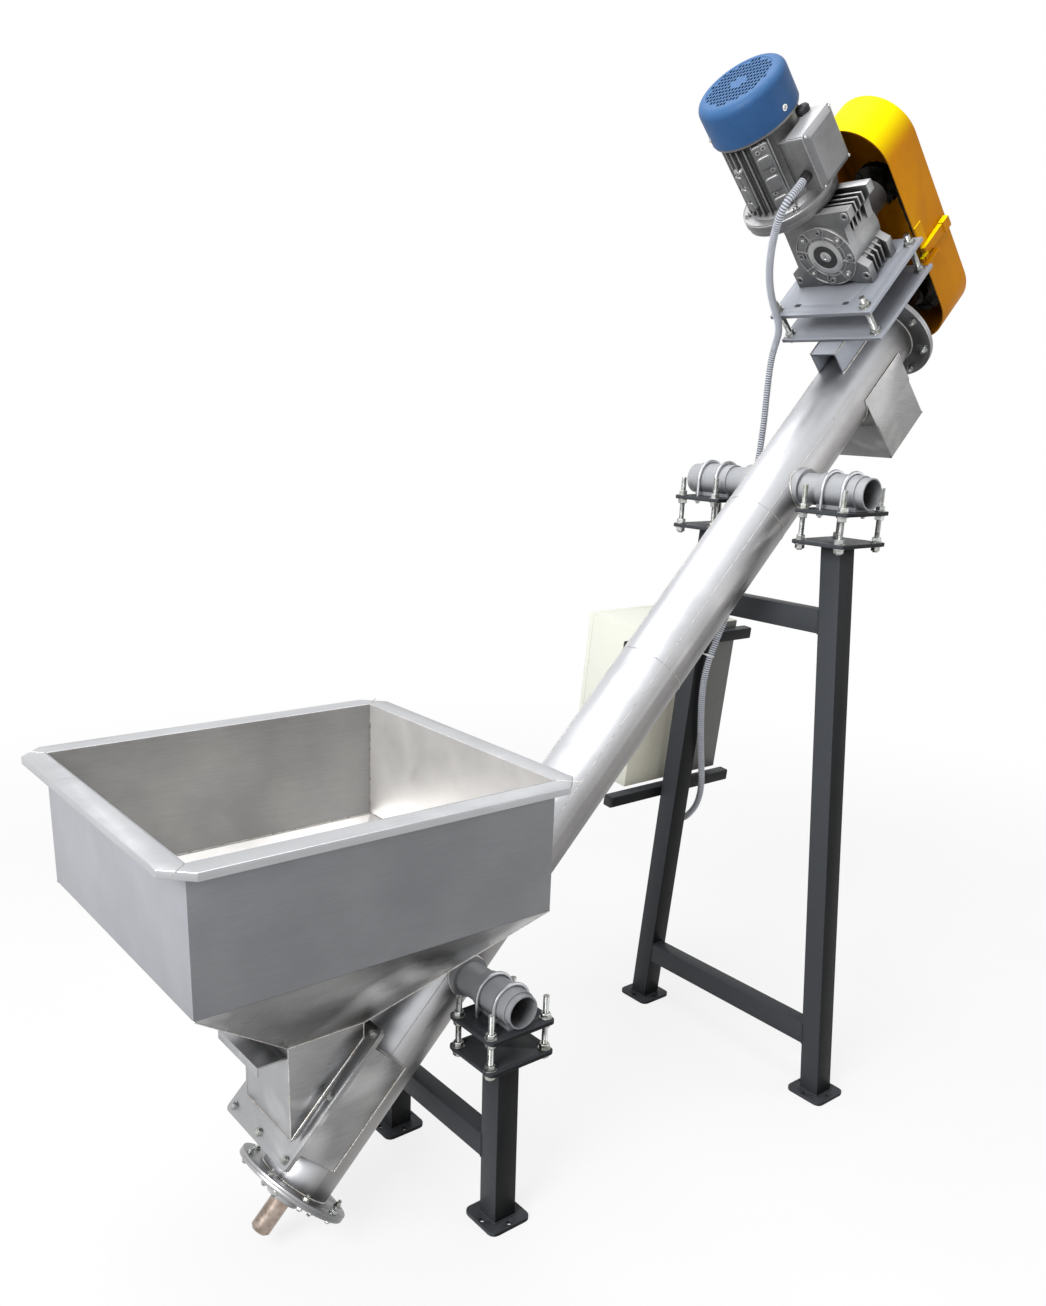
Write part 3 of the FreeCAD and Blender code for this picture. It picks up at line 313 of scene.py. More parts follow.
def brushedSteel(name, dark, light, rough, grainTurn=0.0, grainStretch=(1, 60, 60), heat=0.0, metal=1.0,
                 wave=0.22, paintedLit=None, paintedUnderShade=0.0, shade=None, paintedSheen=0.0):
    # satin sheet: long grain, soft blotches left by wiping and handling, fine cross scratches; painted light
    # and shade by facing, and where asked painted highlights and painted shade in hollows
    material, tree, shader, coords = newMaterial(name)
    grain = noiseOf(tree, coords, 14.0, 4.0, 0.6, grainStretch, grainTurn)
    share = twoNoises(tree, noiseOf(tree, coords, 2.6, 4.0, 0.55), 0.6, grain)
    patch = noiseOf(tree, coords, 11.0, 3.0, 0.5)
    # painted light: a lighter ramp of the same grain for faces that look up or towards the hopper's end
    paintedPale = rampOf(tree, share, [(0.36, tuple(0.82 * v for v in paintedLit)), (0.62, paintedLit)]) if paintedLit else None
    colour = paintedLightByFacing(tree, rampOf(tree, share, [(0.36, dark), (0.62, light)]), paintedPale, paintedUnderShade)
    if paintedSheen:
        # painted highlights: light streaks in the colour, in place of the sheet's curling reflections
        made = addNode(tree, "ShaderNodeTexNoise", None, Vector=coords, Scale=2.6, Detail=2.0, Roughness=0.5,
                       Distortion=0.9)
        paintedWisp = rampOf(tree, made.outputs["Fac"], [(0.50, grey(0.0)), (0.66, grey(paintedSheen)),
                                                  (0.72, grey(0.3 * paintedSheen))])
        colour = mixColour(tree, paintedWisp, colour, (0.82, 0.82, 0.83))
    # painted shade: the colour darkens in hollows, in corners and below other parts, by ambient occlusion
    if shade:
        distance, amount = shade
        deep = rampOf(tree, openness(tree, distance, False), [(0.30, grey(amount)), (0.85, grey(0.0))])
        colour = mixColour(tree, deep, colour, (0.030, 0.030, 0.031))
    if heat:
        warm = rampOf(tree, noiseOf(tree, coords, 5.0, 3.0), [(0.55, grey(0.0)), (0.8, grey(heat))])
        colour = mixColour(tree, warm, colour, (0.46, 0.42, 0.35))
    roughness = math2(tree, "ADD", between(tree, patch, -0.05, 0.06),
                      between(tree, grain, rough - 0.05, rough + 0.06))
    buckled = bumpOf(tree, noiseOf(tree, coords, 5.5, 1.0), wave, 0.006, bumpOf(tree, grain, 0.10, 0.0006))
    dress(tree, shader, Base_Color=colour, Metallic=metal, Roughness=roughness, Anisotropic=0.35,
          Normal=buckled)
    return material


def paint(name, base, dark, rough, peel=0.12, wearColour=None, wearShare=0.5, hollow=None, gloss=0.5, paintedLit=None,
          paintedUnderShade=0.0, past=None):
    # powder coat: fine orange peel, dust in soft clouds, lighter worn edges; painted light and shade by
    # facing, and where asked painted shade in hollows and a painted shadow on one wall
    material, tree, shader, coords = newMaterial(name)
    speck = noiseOf(tree, coords, 60.0, 3.0, 0.7)
    share = twoNoises(tree, noiseOf(tree, coords, 4.0, 4.0, 0.6), 0.75, speck)
    colour = paintedLightByFacing(tree, rampOf(tree, share, [(0.38, dark), (0.62, base)]), paintedLit, paintedUnderShade)
    if past:
        # painted shadow: the wall that faces the stand is painted dark past the leg, where leg and tube would
        # shade it
        start, shade = past
        along = rangeOf(tree, partOf(tree, coords, "X"), start, start + 0.06, soft=True)
        share = math2(tree, "MULTIPLY", along, math2(tree, "LESS_THAN", partOf(tree, facing(tree), "Y"), -0.9))
        colour = mixColour(tree, share, colour, shade)
    if wearColour:
        broken = math2(tree, "MULTIPLY", edgeShare(tree, 0.0022), between(tree, speck, 0.2, 1.0))
        colour = mixColour(tree, math2(tree, "MULTIPLY", broken, wearShare), colour, wearColour)
    # painted shade: the colour darkens towards the given shade in hollows, by ambient occlusion
    if hollow:
        distance, shade = hollow
        colour = mixColour(tree, rampOf(tree, openness(tree, distance),
                                        [(0.25, grey(0.96)), (0.75, grey(0.0))]),
                           colour, shade)
    dress(tree, shader, Base_Color=colour, Roughness=between(tree, speck, rough - 0.05, rough + 0.07),
          Specular_IOR_Level=gloss, Normal=bumpOf(tree, noiseOf(tree, coords, 420.0, 2.0), peel, 0.0008))
    return material


def castMetal(name, dark, light, rough, metal, paintedLit=None, paintedUnderShade=0.0):
    # blasted casting: granular skin, painted light and shade by facing, painted shade in the hollows, and
    # edges that are lighter, partly worn bare and partly a painted highlight
    material, tree, shader, coords = newMaterial(name)
    grain = noiseOf(tree, coords, 700.0, 3.0, 0.6)
    share = twoNoises(tree, noiseOf(tree, coords, 16.0, 4.0, 0.6), 0.6, grain)
    colour = paintedLightByFacing(tree, rampOf(tree, share, [(0.36, dark), (0.64, light)]), paintedLit, paintedUnderShade)
    # painted shade: the colour darkens in the casting's hollows, by ambient occlusion
    deep = rampOf(tree, openness(tree, 0.035), [(0.35, grey(0.92)), (0.97, grey(0.0))])
    colour = mixColour(tree, deep, colour, (0.022, 0.021, 0.020))
    # edges lighter: partly worn bare metal, partly a painted highlight
    wornEdgeAndHighlight = math2(tree, "MULTIPLY", edgeShare(tree, 0.0025, 0.02, 0.16), 0.75)
    colour = mixColour(tree, wornEdgeAndHighlight, colour, (0.72, 0.72, 0.73))
    dress(tree, shader, Base_Color=colour, Metallic=metal,
          Roughness=between(tree, grain, rough - 0.06, rough + 0.08), Normal=bumpOf(tree, grain, 0.35, 0.0010))
    return material


def plainMetal(name, dark, light, rough, tint=None, scale=45.0):
    # turned or plated metal with slight tarnish
    material, tree, shader, coords = newMaterial(name)
    patch = noiseOf(tree, coords, scale, 4.0, 0.6)
    colour = rampOf(tree, patch, [(0.34, dark), (0.66, light)])
    if tint:
        stain = rampOf(tree, noiseOf(tree, coords, scale * 0.4, 3.0), [(0.5, grey(0)), (0.75, grey(0.8))])
        colour = mixColour(tree, stain, colour, tint)
    dress(tree, shader, Base_Color=colour, Metallic=1.0,
          Roughness=between(tree, patch, rough - 0.07, rough + 0.10),
          Normal=bumpOf(tree, noiseOf(tree, coords, 900.0, 2.0), 0.10, 0.0005))
    return material


def plasticOf(name, dark, light, rough, groove=None, gloss=0.5):
    material, tree, shader, coords = newMaterial(name)
    colour = rampOf(tree, noiseOf(tree, coords, 30.0, 3.0), [(0.35, dark), (0.65, light)])
    if groove:
        # painted shade: the bottoms of the grooves, which the mesh marks as "valley", are painted darker
        valley = addNode(tree, "ShaderNodeAttribute", {"attribute_name": "valley"}).outputs["Fac"]
        colour = mixColour(tree, rampOf(tree, valley, [(0.25, grey(0.0)), (0.80, grey(0.95))]), colour, groove)
    dress(tree, shader, Base_Color=colour, Specular_IOR_Level=gloss,
          Roughness=between(tree, noiseOf(tree, coords, 120.0, 3.0), rough - 0.06, rough + 0.08),
          Normal=bumpOf(tree, noiseOf(tree, coords, 600.0, 2.0), 0.10, 0.0006))
    return material


print("materials")
# the colours given for faces that look up, towards the hopper's end or down, and the settings for hollows,
# sheen and the far cabinet wall, are painted light and shade
finishes = {
    "stainless": brushedSteel("stainlessSheet", (0.17, 0.17, 0.17), (0.31, 0.31, 0.31), 0.30, heat=0.15,
                              wave=0.7, paintedLit=(0.44, 0.445, 0.46), paintedUnderShade=0.45, shade=(0.07, 0.6), paintedSheen=0.55),
    "hopper": brushedSteel("hopperSheet", (0.165, 0.168, 0.178), (0.225, 0.228, 0.238), 0.38, metal=0.8,
                           paintedLit=(0.46, 0.47, 0.51), paintedUnderShade=0.5, shade=(0.075, 0.6)),
    # painted light: the hopper's inner faces get a lighter copy of its sheet, with painted shade in the
    # corners
    "insidePaintedLight": brushedSteel("hopperInside", (0.25, 0.25, 0.248), (0.36, 0.36, 0.355), 0.40, heat=0.2, metal=0.7,
                           wave=0.35, paintedLit=(0.97, 0.95, 0.93), shade=(0.12, 0.35)),
    "rim": brushedSteel("stainlessRim", (0.34, 0.345, 0.355), (0.46, 0.465, 0.48), 0.34,
                        paintedLit=(0.62, 0.63, 0.65)),
    "tube": brushedSteel("tubeSatin", (0.22, 0.215, 0.215), (0.32, 0.312, 0.308), 0.42, -tubeAngle,
                         (1.0, 45.0, 45.0), wave=0.3, paintedLit=(0.72, 0.73, 0.76), shade=(0.05, 0.6)),
    "flange": brushedSteel("flangeSteel", (0.17, 0.172, 0.176), (0.26, 0.262, 0.268), 0.36, -tubeAngle,
                           (1.0, 20.0, 20.0), paintedLit=(0.42, 0.42, 0.43), paintedUnderShade=0.4),
    "weld": plainMetal("weldBead", (0.42, 0.41, 0.39), (0.68, 0.67, 0.65), 0.30, (0.46, 0.40, 0.33), 60.0),
    "stand": paint("standPaint", (0.013, 0.0135, 0.0145), (0.008, 0.0085, 0.009), 0.40, 0.10,
                   (0.10, 0.105, 0.11), 0.45, gloss=0.08, paintedLit=(0.056, 0.060, 0.067)),
    # painted shade in hollows, such as the mouths of the trunnion pipes
    "light": paint("greyPaint", (0.24, 0.25, 0.265), (0.17, 0.178, 0.19), 0.42, 0.10, (0.42, 0.42, 0.43), 0.4,
                   hollow=(0.32, (0.030, 0.030, 0.032)), paintedLit=(0.38, 0.39, 0.41), paintedUnderShade=0.5),
    "plate": brushedSteel("plateSteel", (0.27, 0.285, 0.325), (0.33, 0.348, 0.395), 0.55, -tubeAngle,
                          (1, 30, 30), metal=0.25, wave=0.1, paintedLit=(0.42, 0.44, 0.49), paintedUnderShade=0.55,
                          shade=(0.06, 0.5)),
    "zinc": plainMetal("zincPlate", (0.32, 0.33, 0.32), (0.58, 0.59, 0.58), 0.30, (0.40, 0.40, 0.33), 70.0),
    "rod": plainMetal("rodGrey", (0.42, 0.43, 0.45), (0.56, 0.57, 0.59), 0.40, None, 25.0),
    "screw": plainMetal("wornSteel", (0.20, 0.19, 0.17), (0.40, 0.38, 0.35), 0.38, (0.25, 0.17, 0.11), 25.0),
    "oiledEnd": plainMetal("oiledEnd", (0.26, 0.205, 0.17), (0.46, 0.38, 0.33), 0.30, (0.28, 0.19, 0.14),
                           40.0),
    "cast": castMetal("castGrey", (0.17, 0.172, 0.175), (0.28, 0.282, 0.285), 0.38, 0.5,
                      paintedLit=(0.50, 0.50, 0.51), paintedUnderShade=0.5),
    "castLid": castMetal("castLid", (0.13, 0.131, 0.135), (0.19, 0.192, 0.196), 0.42, 0.4,
                         paintedLit=(0.54, 0.54, 0.56), paintedUnderShade=0.3),
    "machined": plainMetal("machinedFace", (0.40, 0.40, 0.40), (0.50, 0.50, 0.50), 0.30, None, 30.0),
    "rubber": plasticOf("sealRubber", (0.006, 0.006, 0.006), (0.014, 0.014, 0.014), 0.5),
    "black": plainMetal("oiledBlack", (0.012, 0.011, 0.010), (0.045, 0.042, 0.037), 0.42, None, 60.0),
    "yellow": paint("guardYellow", (0.62, 0.235, 0.0), (0.52, 0.19, 0.0), 0.50, 0.05, (0.95, 0.60, 0.02), 0.35,
                    gloss=0.08, paintedLit=(1.0, 0.84, 0.0), paintedUnderShade=0.3),
    # painted shade: the guard's inner faces are a darker copy of its yellow, darker still in hollows
    "guardInside": paint("guardInside", (0.50, 0.19, 0.0), (0.40, 0.145, 0.0), 0.8, 0.05,
                         hollow=(0.22, (0.030, 0.009, 0.001)), gloss=0.02),
    "blue": paint("fanBlue", (0.030, 0.098, 0.245), (0.023, 0.076, 0.198), 0.44, 0.08, (0.12, 0.28, 0.55),
                  0.35, gloss=0.15, paintedLit=(0.046, 0.128, 0.290)),
    # painted shadow on the cabinet's wall past the rear leg
    "cream": paint("cabinetCream", (0.60, 0.585, 0.485), (0.52, 0.505, 0.42), 0.50, 0.16,
                   paintedLit=(0.745, 0.755, 0.675), past=(plantPoint(2050.0, 0, 0).x, (0.085, 0.085, 0.080))),
    # painted shade in the conduit's grooves
    "conduit": plasticOf("conduitGrey", (0.52, 0.54, 0.60), (0.64, 0.66, 0.72), 0.45,
                         groove=(0.11, 0.12, 0.135), gloss=0.3),
    "plastic": plasticOf("blackMoulded", (0.008, 0.008, 0.009), (0.020, 0.020, 0.022), 0.45, gloss=0.3),
    # painted shade: near-black and dull, for the disc that stands in for shade in the fan cover
    "shadow": plasticOf("fanShroud", (0.004, 0.006, 0.010), (0.008, 0.010, 0.016), 0.9, gloss=0.02),
    "white": plasticOf("tieWhite", (0.62, 0.62, 0.60), (0.75, 0.75, 0.73), 0.45),
}


# Camera at the photograph's viewing angle
camera = {"place": (-1078.67, -2499.82, 2321.17), "roll": 2.12, "lens": 31.29, "shiftY": 0.0824,
          "ahead": (0.6043, 0.7386, -0.2987), "right": (0.7740, -0.6332, 0.0)}


def placeCamera():
    ahead = Vector(camera["ahead"]).normalized()
    right = Vector(camera["right"]).normalized()
    up = right.cross(ahead).normalized()
    roll = math.radians(camera["roll"])
    across = right * math.cos(roll) + up * math.sin(roll)
    above = up * math.cos(roll) - right * math.sin(roll)
    turn = Matrix((across, above, -ahead)).transposed()
    data = bpy.data.cameras.new("photoCamera")
    data.sensor_width = 36.0
    data.sensor_fit = "AUTO"
    data.lens = camera["lens"]
    data.shift_y = camera["shiftY"]
    data.clip_end = 100
    obj = newObject("photoCamera", data)
    obj.matrix_world = Matrix.Translation(plantPoint(*camera["place"])) @ turn.to_4x4()
    bpy.context.scene.camera = obj


placeCamera()
print("camera")

# Flexible conduit: the route's points are the ones that the solid follows
conduit = {"radius": 12.5, "pitch": 8.0, "groove": 2.6, "sides": 16, "glandY": -64.0, "glandN": 700.0,
           "noseS": 3482.0,
           "first": 42.0, "cabinetGland": (2206.0, 85.0, 857.0), "rise": 52.0}
conduitMiddle = [(1862, -57, 2932), (1863, -35, 2899), (1884, -6, 2868), (1912, 26, 2838), (1942, 56, 2804),
                 (1977, 86, 2762), (2020, 114, 2716), (2070, 136, 2668), (2122, 152, 2626), (2160, 173, 2590),
                 (2188, 204, 2560), (2204, 230, 2516), (2212, 242, 2462), (2217, 248, 2394), (2219, 250, 2290),
                 (2211, 252, 2166), (2190, 253, 2005), (2160, 249, 1822), (2117, 242, 1640), (2062, 242, 1534),
                 (2030, 248, 1450), (2022, 259, 1350), (2044, 272, 1212), (2082, 291, 1074), (2126, 315, 960),
                 (2149, 335, 886), (2154, 358, 824), (2147, 392, 776), (2158, 430, 750), (2182, 466, 764)]


def legLean():
    # the cabinet and its gland lean with the rear left leg
    rise = layout["rearS"] * sinA - layout["headDrop"] - 12
    angle = math.atan2(layout["rearFootY"] - layout["rearHeadY"], rise)
    return Matrix.Translation((0, layout["rearFootY"] + 38, 12)) @ Matrix.Rotation(angle, 4, "X")


def conduitRoute():
    c = conduit
    points = [tubePoint(c["noseS"], c["glandY"], c["glandN"]),
              tubePoint(c["noseS"] - c["first"], c["glandY"], c["glandN"])]
    points += [plantPoint(*p) for p in conduitMiddle]
    end = legLean() @ Vector(c["cabinetGland"])
    down = legLean().to_3x3() @ Vector((0, 0, -1))
    return points + [plantPoint(*(end + down * c["rise"])), plantPoint(*end)]


def routeLine(points):
    # one smooth curve with the route's points as its control points
    curve = bpy.data.curves.new("route", "CURVE")
    curve.dimensions = "3D"
    curve.resolution_u = 24
    spline = curve.splines.new("NURBS")
    spline.points.add(len(points) - 1)
    for slot, point in zip(spline.points, points):
        slot.co = (*point, 1)
    spline.order_u = 3
    spline.use_endpoint_u = True
    route = evaluated(newObject("route", curve))
    line = [v.co.copy() for v in route.data.vertices]
    bpy.data.objects.remove(route)
    return line


# Geometry Nodes: shared ways of repeating and of following a path
def geometryTree(name, inputs):
    tree = bpy.data.node_groups.new(name, "GeometryNodeTree")
    tree.interface.new_socket("Geometry", in_out="INPUT", socket_type="NodeSocketGeometry")
    for label, kind, value in inputs:
        socket = tree.interface.new_socket(label, in_out="INPUT", socket_type=kind)
        if value is not None:
            socket.default_value = value
    tree.interface.new_socket("Geometry", in_out="OUTPUT", socket_type="NodeSocketGeometry")
    return tree, addNode(tree, "NodeGroupInput"), addNode(tree, "NodeGroupOutput")


def endTree(tree, given, taken, geometry):
    # plain faces at the end: instances made real, one finish, smooth over small angles
    real = addNode(tree, "GeometryNodeRealizeInstances", None, Geometry=geometry)
    dressedUp = addNode(tree, "GeometryNodeSetMaterial", None, Geometry=real.outputs[0],
                        Material=given.outputs["Finish"])
    tree.links.new(dressedUp.outputs[0], taken.inputs[0])
    return tree


def runTree(obj, tree, values, angle=32.0):
    modifier = obj.modifiers.new(tree.name, "NODES")
    modifier.node_group = tree
    for item in tree.interface.items_tree:
        if item.in_out == "INPUT" and item.name in values:
            modifier[item.identifier] = values[item.name]
    done = evaluated(obj)
    smoothMesh(done.data, angle)
    return done


def ribbedTubeTree():
    # a round bar along each given line, as thick as the line's "reach", its radius falling once every pitch
    tree, given, taken = geometryTree("ribbedTube", [
        ("Groove", "NodeSocketFloat", 0.0015), ("Pitch", "NodeSocketFloat", 0.0046),
        ("Steps", "NodeSocketInt", 4), ("Sides", "NodeSocketInt", 14), ("Finish", "NodeSocketMaterial", None)])
    line = addNode(tree, "GeometryNodeMeshToCurve", None, Mesh=given.outputs["Geometry"])
    step = math2(tree, "DIVIDE", given.outputs["Pitch"], given.outputs["Steps"])
    spaced = addNode(tree, "GeometryNodeResampleCurve", {"mode": "LENGTH"}, Curve=line.outputs[0], Length=step)
    index = addNode(tree, "GeometryNodeInputIndex").outputs[0]
    phase = math2(tree, "DIVIDE", math2(tree, "MULTIPLY", index, 2 * math.pi), given.outputs["Steps"])
    valley = math2(tree, "MULTIPLY", math2(tree, "SUBTRACT", 1.0, math2(tree, "COSINE", phase)), 0.5)
    depth = math2(tree, "MULTIPLY", valley, given.outputs["Groove"])
    marked = addNode(tree, "GeometryNodeStoreNamedAttribute", {"data_type": "FLOAT", "domain": "POINT"},
                     Geometry=spaced.outputs[0], Name="valley", Value=valley)
    reach = addNode(tree, "GeometryNodeInputNamedAttribute", {"data_type": "FLOAT"}, Name="reach")
    swollen = addNode(tree, "GeometryNodeSetCurveRadius", None, Curve=marked.outputs[0],
                      Radius=math2(tree, "SUBTRACT", reach.outputs[0], depth))
    ring = addNode(tree, "GeometryNodeCurvePrimitiveCircle", None, Resolution=given.outputs["Sides"],
                   Radius=1.0)
    tube = addNode(tree, "GeometryNodeCurveToMesh", None, Curve=swollen.outputs[0])
    tree.links.new(ring.outputs[0], tube.inputs["Profile Curve"])
    if "Scale" in tube.inputs:
        radius = addNode(tree, "GeometryNodeInputRadius")
        tree.links.new(radius.outputs[0], tube.inputs["Scale"])
    tube.inputs["Fill Caps"].default_value = True
    return endTree(tree, given, taken, tube.outputs[0])


def onPointsTree():
    # one piece on every point, turned as the point's own "turn" says and sized by its "size"
    tree, given, taken = geometryTree("onPoints", [
        ("Piece", "NodeSocketObject", None), ("Finish", "NodeSocketMaterial", None)])
    piece = addNode(tree, "GeometryNodeObjectInfo", None, Object=given.outputs["Piece"])
    turn = addNode(tree, "GeometryNodeInputNamedAttribute", {"data_type": "QUATERNION"}, Name="turn")
    size = addNode(tree, "GeometryNodeInputNamedAttribute", {"data_type": "FLOAT_VECTOR"}, Name="size")
    placed = addNode(tree, "GeometryNodeInstanceOnPoints", None, Points=given.outputs["Geometry"],
                     Instance=piece.outputs["Geometry"], Rotation=turn.outputs[0], Scale=size.outputs[0])
    return endTree(tree, given, taken, placed.outputs[0])


ribbedTube = ribbedTubeTree()
onPoints = onPointsTree()


def repeated(name, piece, places, finish, angle=32.0):
    # places: (point, rotation, scale) for each copy, in metres
    mesh = bpy.data.meshes.new(name)
    mesh.from_pydata([tuple(p) for p, _, _ in places], [], [])
    mesh.attributes.new("turn", "QUATERNION", "POINT")
    mesh.attributes.new("size", "FLOAT_VECTOR", "POINT")
    sizes = [(s, s, s) if isinstance(s, float) else s for _, _, s in places]
    mesh.attributes["turn"].data.foreach_set("value", [v for _, turn, _ in places for v in turn])
    mesh.attributes["size"].data.foreach_set("vector", [v for size in sizes for v in size])
    host = newObject(name, mesh)
    return runTree(host, onPoints, {"Piece": piece, "Finish": finishes[finish]}, angle)


def ribbed(name, lines, finish, groove, pitch, steps=2, sides=10, angle=60.0):
    # lines: (radius in mm, points in metres) for each bar; groove and pitch in mm
    verts, edges, reach = [], [], []
    for radius, points in lines:
        start = len(verts)
        verts += [tuple(p) for p in points]
        edges += [(start + i, start + i + 1) for i in range(len(points) - 1)]
        reach += [radius / 1000] * len(points)
    mesh = bpy.data.meshes.new(name)
    mesh.from_pydata(verts, edges, [])
    mesh.attributes.new("reach", "FLOAT", "POINT").data.foreach_set("value", reach)
    values = {"Groove": groove / 1000, "Pitch": pitch / 1000, "Steps": steps, "Sides": sides,
              "Finish": finishes[finish]}
    return runTree(newObject(name, mesh), ribbedTube, values, angle)


def makeConduit():
    c = conduit
    line = routeLine(conduitRoute())
    obj = ribbed("flexConduit", [(c["radius"], line)], "conduit", c["groove"], c["pitch"], 4, c["sides"])
    keepPiece(obj, "conduit_grey", "conduit")
    return line


conduitLine = makeConduit()


# A CAD solid's own copy with its facets joined and its edges rounded
def rounded(node, finish, bevel, slot, body="frame", name=None, segments=2, angle=30.0, fold=None,
            inner=None, axis=Vector((0, 0, 1))):
    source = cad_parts[node]
    mesh = source.data.copy()
    mesh.materials.clear()
    mesh.materials.append(finishes[finish])
    if inner:
        mesh.materials.append(finishes[inner])
    bm = bmesh.new()
    bm.from_mesh(mesh)
    bmesh.ops.remove_doubles(bm, verts=bm.verts, dist=0.00002)
    bmesh.ops.dissolve_limit(bm, angle_limit=math.radians(0.4), verts=bm.verts, edges=bm.edges)
    middle = sum((v.co for v in bm.verts), Vector()) / len(bm.verts)
    for face in bm.faces:
        inwards = (face.calc_center_median() - middle).dot(face.normal) < 0
        face.material_index = int(bool(inner) and abs(face.normal.dot(axis)) < 0.9 and inwards)
    if fold:
        # long edges that run the fold's way are bent sheet, with a larger radius
        # past the stop they stay as cut
        way, radius, least, stop = fold
        bmesh.ops.triangulate(bm, faces=[f for f in bm.faces
                                         if abs(f.normal.dot(way)) > 0.99 and len(f.verts) > 4])
        if stop:
            bmesh.ops.bisect_plane(bm, geom=bm.verts[:] + bm.edges[:] + bm.faces[:], plane_co=stop,
                                   plane_no=way)
        bent = [e for e in bm.edges
                if e.calc_length() > least / 1000 and e.is_manifold and e.calc_face_angle() > 0.8
                and abs((e.verts[0].co - e.verts[1].co).normalized().dot(way)) > 0.995
                and (not stop or max((v.co - stop).dot(way) for v in e.verts) < 0.0001)]
        bmesh.ops.bevel(bm, geom=bent, offset=radius / 1000, segments=4, profile=0.5, affect="EDGES")
    bm.to_mesh(mesh)
    bm.free()
    obj = newObject(name or node + "Dressed", mesh)
    if bevel:
        modifier = obj.modifiers.new("edges", "BEVEL")
        modifier.width = bevel / 1000
        modifier.segments = segments
        modifier.limit_method = "ANGLE"
        modifier.angle_limit = math.radians(angle)
        modifier.use_clamp_overlap = True
        obj = evaluated(obj)
    smoothMesh(obj.data, angle)
    return keepPiece(obj, slot, node, body=body)


dressedNodes = [
    ("stand", "stand_paint", {"foot_plates": 1.5, "front_left_leg": 6.0, "front_right_leg": 6.0,
                              "rear_left_leg": 6.0, "rear_right_leg": 6.0, "front_crossbar": 4.0,
                              "rear_lower_crossbar": 2.0, "rear_upper_crossbar": 2.0, "head_plates": 1.5,
                              "clamp_plates": 1.5}),
    ("light", "light_paint", {"trunnions": 0.8, "trunnion_sleeves": 1.0}),
    ("flange", "tube_steel", {"end_plates": 0.8, "tube_end_flanges": 0.8}),
    ("cast", "gear_cast", {"end_bearings": 2.0}),
    ("stainless", "tube_steel", {"inlet_box": 1.0, "inlet_flange": 0.8}),
    ("stainless", "stainless", {"throat_flange": 0.8, "throat": 1.0}),
    ("rim", "stainless", {"hopper_rim": 1.6}),
    ("tube", "tube_steel", {"conveyor_tube": 0.8}),
    ("plate", "light_paint", {"drive_base_plate": 1.2, "motor_plate": 1.2}),
    ("cast", "gear_cast", {"gearbox_housing": 2.2}),
    ("rubber", "seal_rubber", {"oil_seal": 0.5}),
    ("cast", "gear_cast", {"motor_body": 0.8, "terminal_box": 2.0}),
    ("cream", "cabinet_cream", {"cabinet_body": 2.5, "cabinet_door": 2.5}),
    ("stand", "stand_paint", {"cabinet_channels": 1.5})]

for finish, slot, bevels in dressedNodes:
    for node, bevel in bevels.items():
        rounded(node, finish, bevel, slot)
rounded("slide_gate", "stainless", 1.0, "stainless", "gate")
rounded("screw_shaft", "oiledEnd", 1.0, "screw_steel", "screw")
rounded("screw_flight", "screw", 0.0, "screw_steel", "screw", angle=20.0)
rounded("driven_sprocket", "black", 0.5, "black_steel", "screw")
rounded("output_shaft", "screw", 1.0, "screw_steel", "output")
rounded("drive_sprocket", "black", 0.5, "black_steel", "output")
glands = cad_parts["conduit_glands"]
glands.data.materials.clear()
glands.data.materials.append(finishes["plastic"])
rounded("hopper_box", "hopper", 1.0, "stainless", inner="insidePaintedLight")
rounded("hopper_transition", "stainless", 1.0, "stainless", inner="insidePaintedLight")
rounded("chain_guard", "yellow", 1.2, "guard_yellow", inner="guardInside", axis=Vector((0, 0, 0)))
rounded("discharge_chute", "stainless", 0.8, "tube_steel",
        fold=(tubeTurn.to_3x3() @ Vector((0, 0, 1)), 9.0, 80.0, tubePoint(3411, 0, -122)))
rounded("saddle_tube", "plate", 0.8, "tube_steel",
        fold=(tubeTurn.to_3x3() @ Vector((1, 0, 0)), 6.0, 80.0, None))
print("solids dressed")


# Fasteners: unit shapes that Geometry Nodes set on the bolt places
fastener = {"nut": 16.0, "nutT": 14.0, "smallNut": 11.5, "smallNutT": 9.0, "boltNut": 9.8, "boltNutT": 7.5,
            "washerOver": 1.22, "washerT": 2.4, "headStudR": 9.0, "headStudRise": 72.0, "plateStudR": 10.0,
            "plateStudRise": 34.0, "uBoltR": 6.0, "thread": 2.4, "threadDepth": 1.0}
stand = {"studX": 97.0, "studY": 75.0, "plateT": 12.0, "sleeveR": 55.0, "uBoltApart": 38.0, "uBoltTail": 14.0,
         "legHalf": 38.0, "footT": 12.0, "barTop": {"front": (277.0,), "rear": (259.0, 1717.0)}, "barH": 76.0,
         "barW": 60.0}
trunnionX = {"front": layout["frontS"] * cosA, "rear": layout["rearS"] * cosA}
trunnionZ = {"front": layout["frontS"] * sinA, "rear": layout["rearS"] * sinA}
up, down = (0, 0, 1), (0, 0, -1)
nuts, washers, rods = [], [], []


def hexShape():
    # corners cut back by the usual chamfer at both ends
    def hexagon(height):
        return [((1.0 if i % 2 == 0 else 0.866) * x, (1.0 if i % 2 == 0 else 0.866) * y, height)
                for i, (x, y, _) in enumerate(circle(1.0, 0, 12))]
    return ringed("hexShape", [circle(0.86, 0, 12), hexagon(0.12), hexagon(0.88), circle(0.86, 1.0, 12)],
                  "zinc")


def discShape():
    return ringed("discShape", turned(((0.97, 0), (1.0, 0.2), (1.0, 0.8), (0.97, 1.0)), 20), "zinc")


def domeShape():
    profile = [(math.cos(a), math.sin(a)) for a in (0, 0.35, 0.7, 1.05, 1.35)]
    return ringed("domeShape", turned(profile, 16), "zinc", angle=50.0)


def placed(spot, size):
    return spot.translation, spot.to_3x3().normalized().to_quaternion(), size


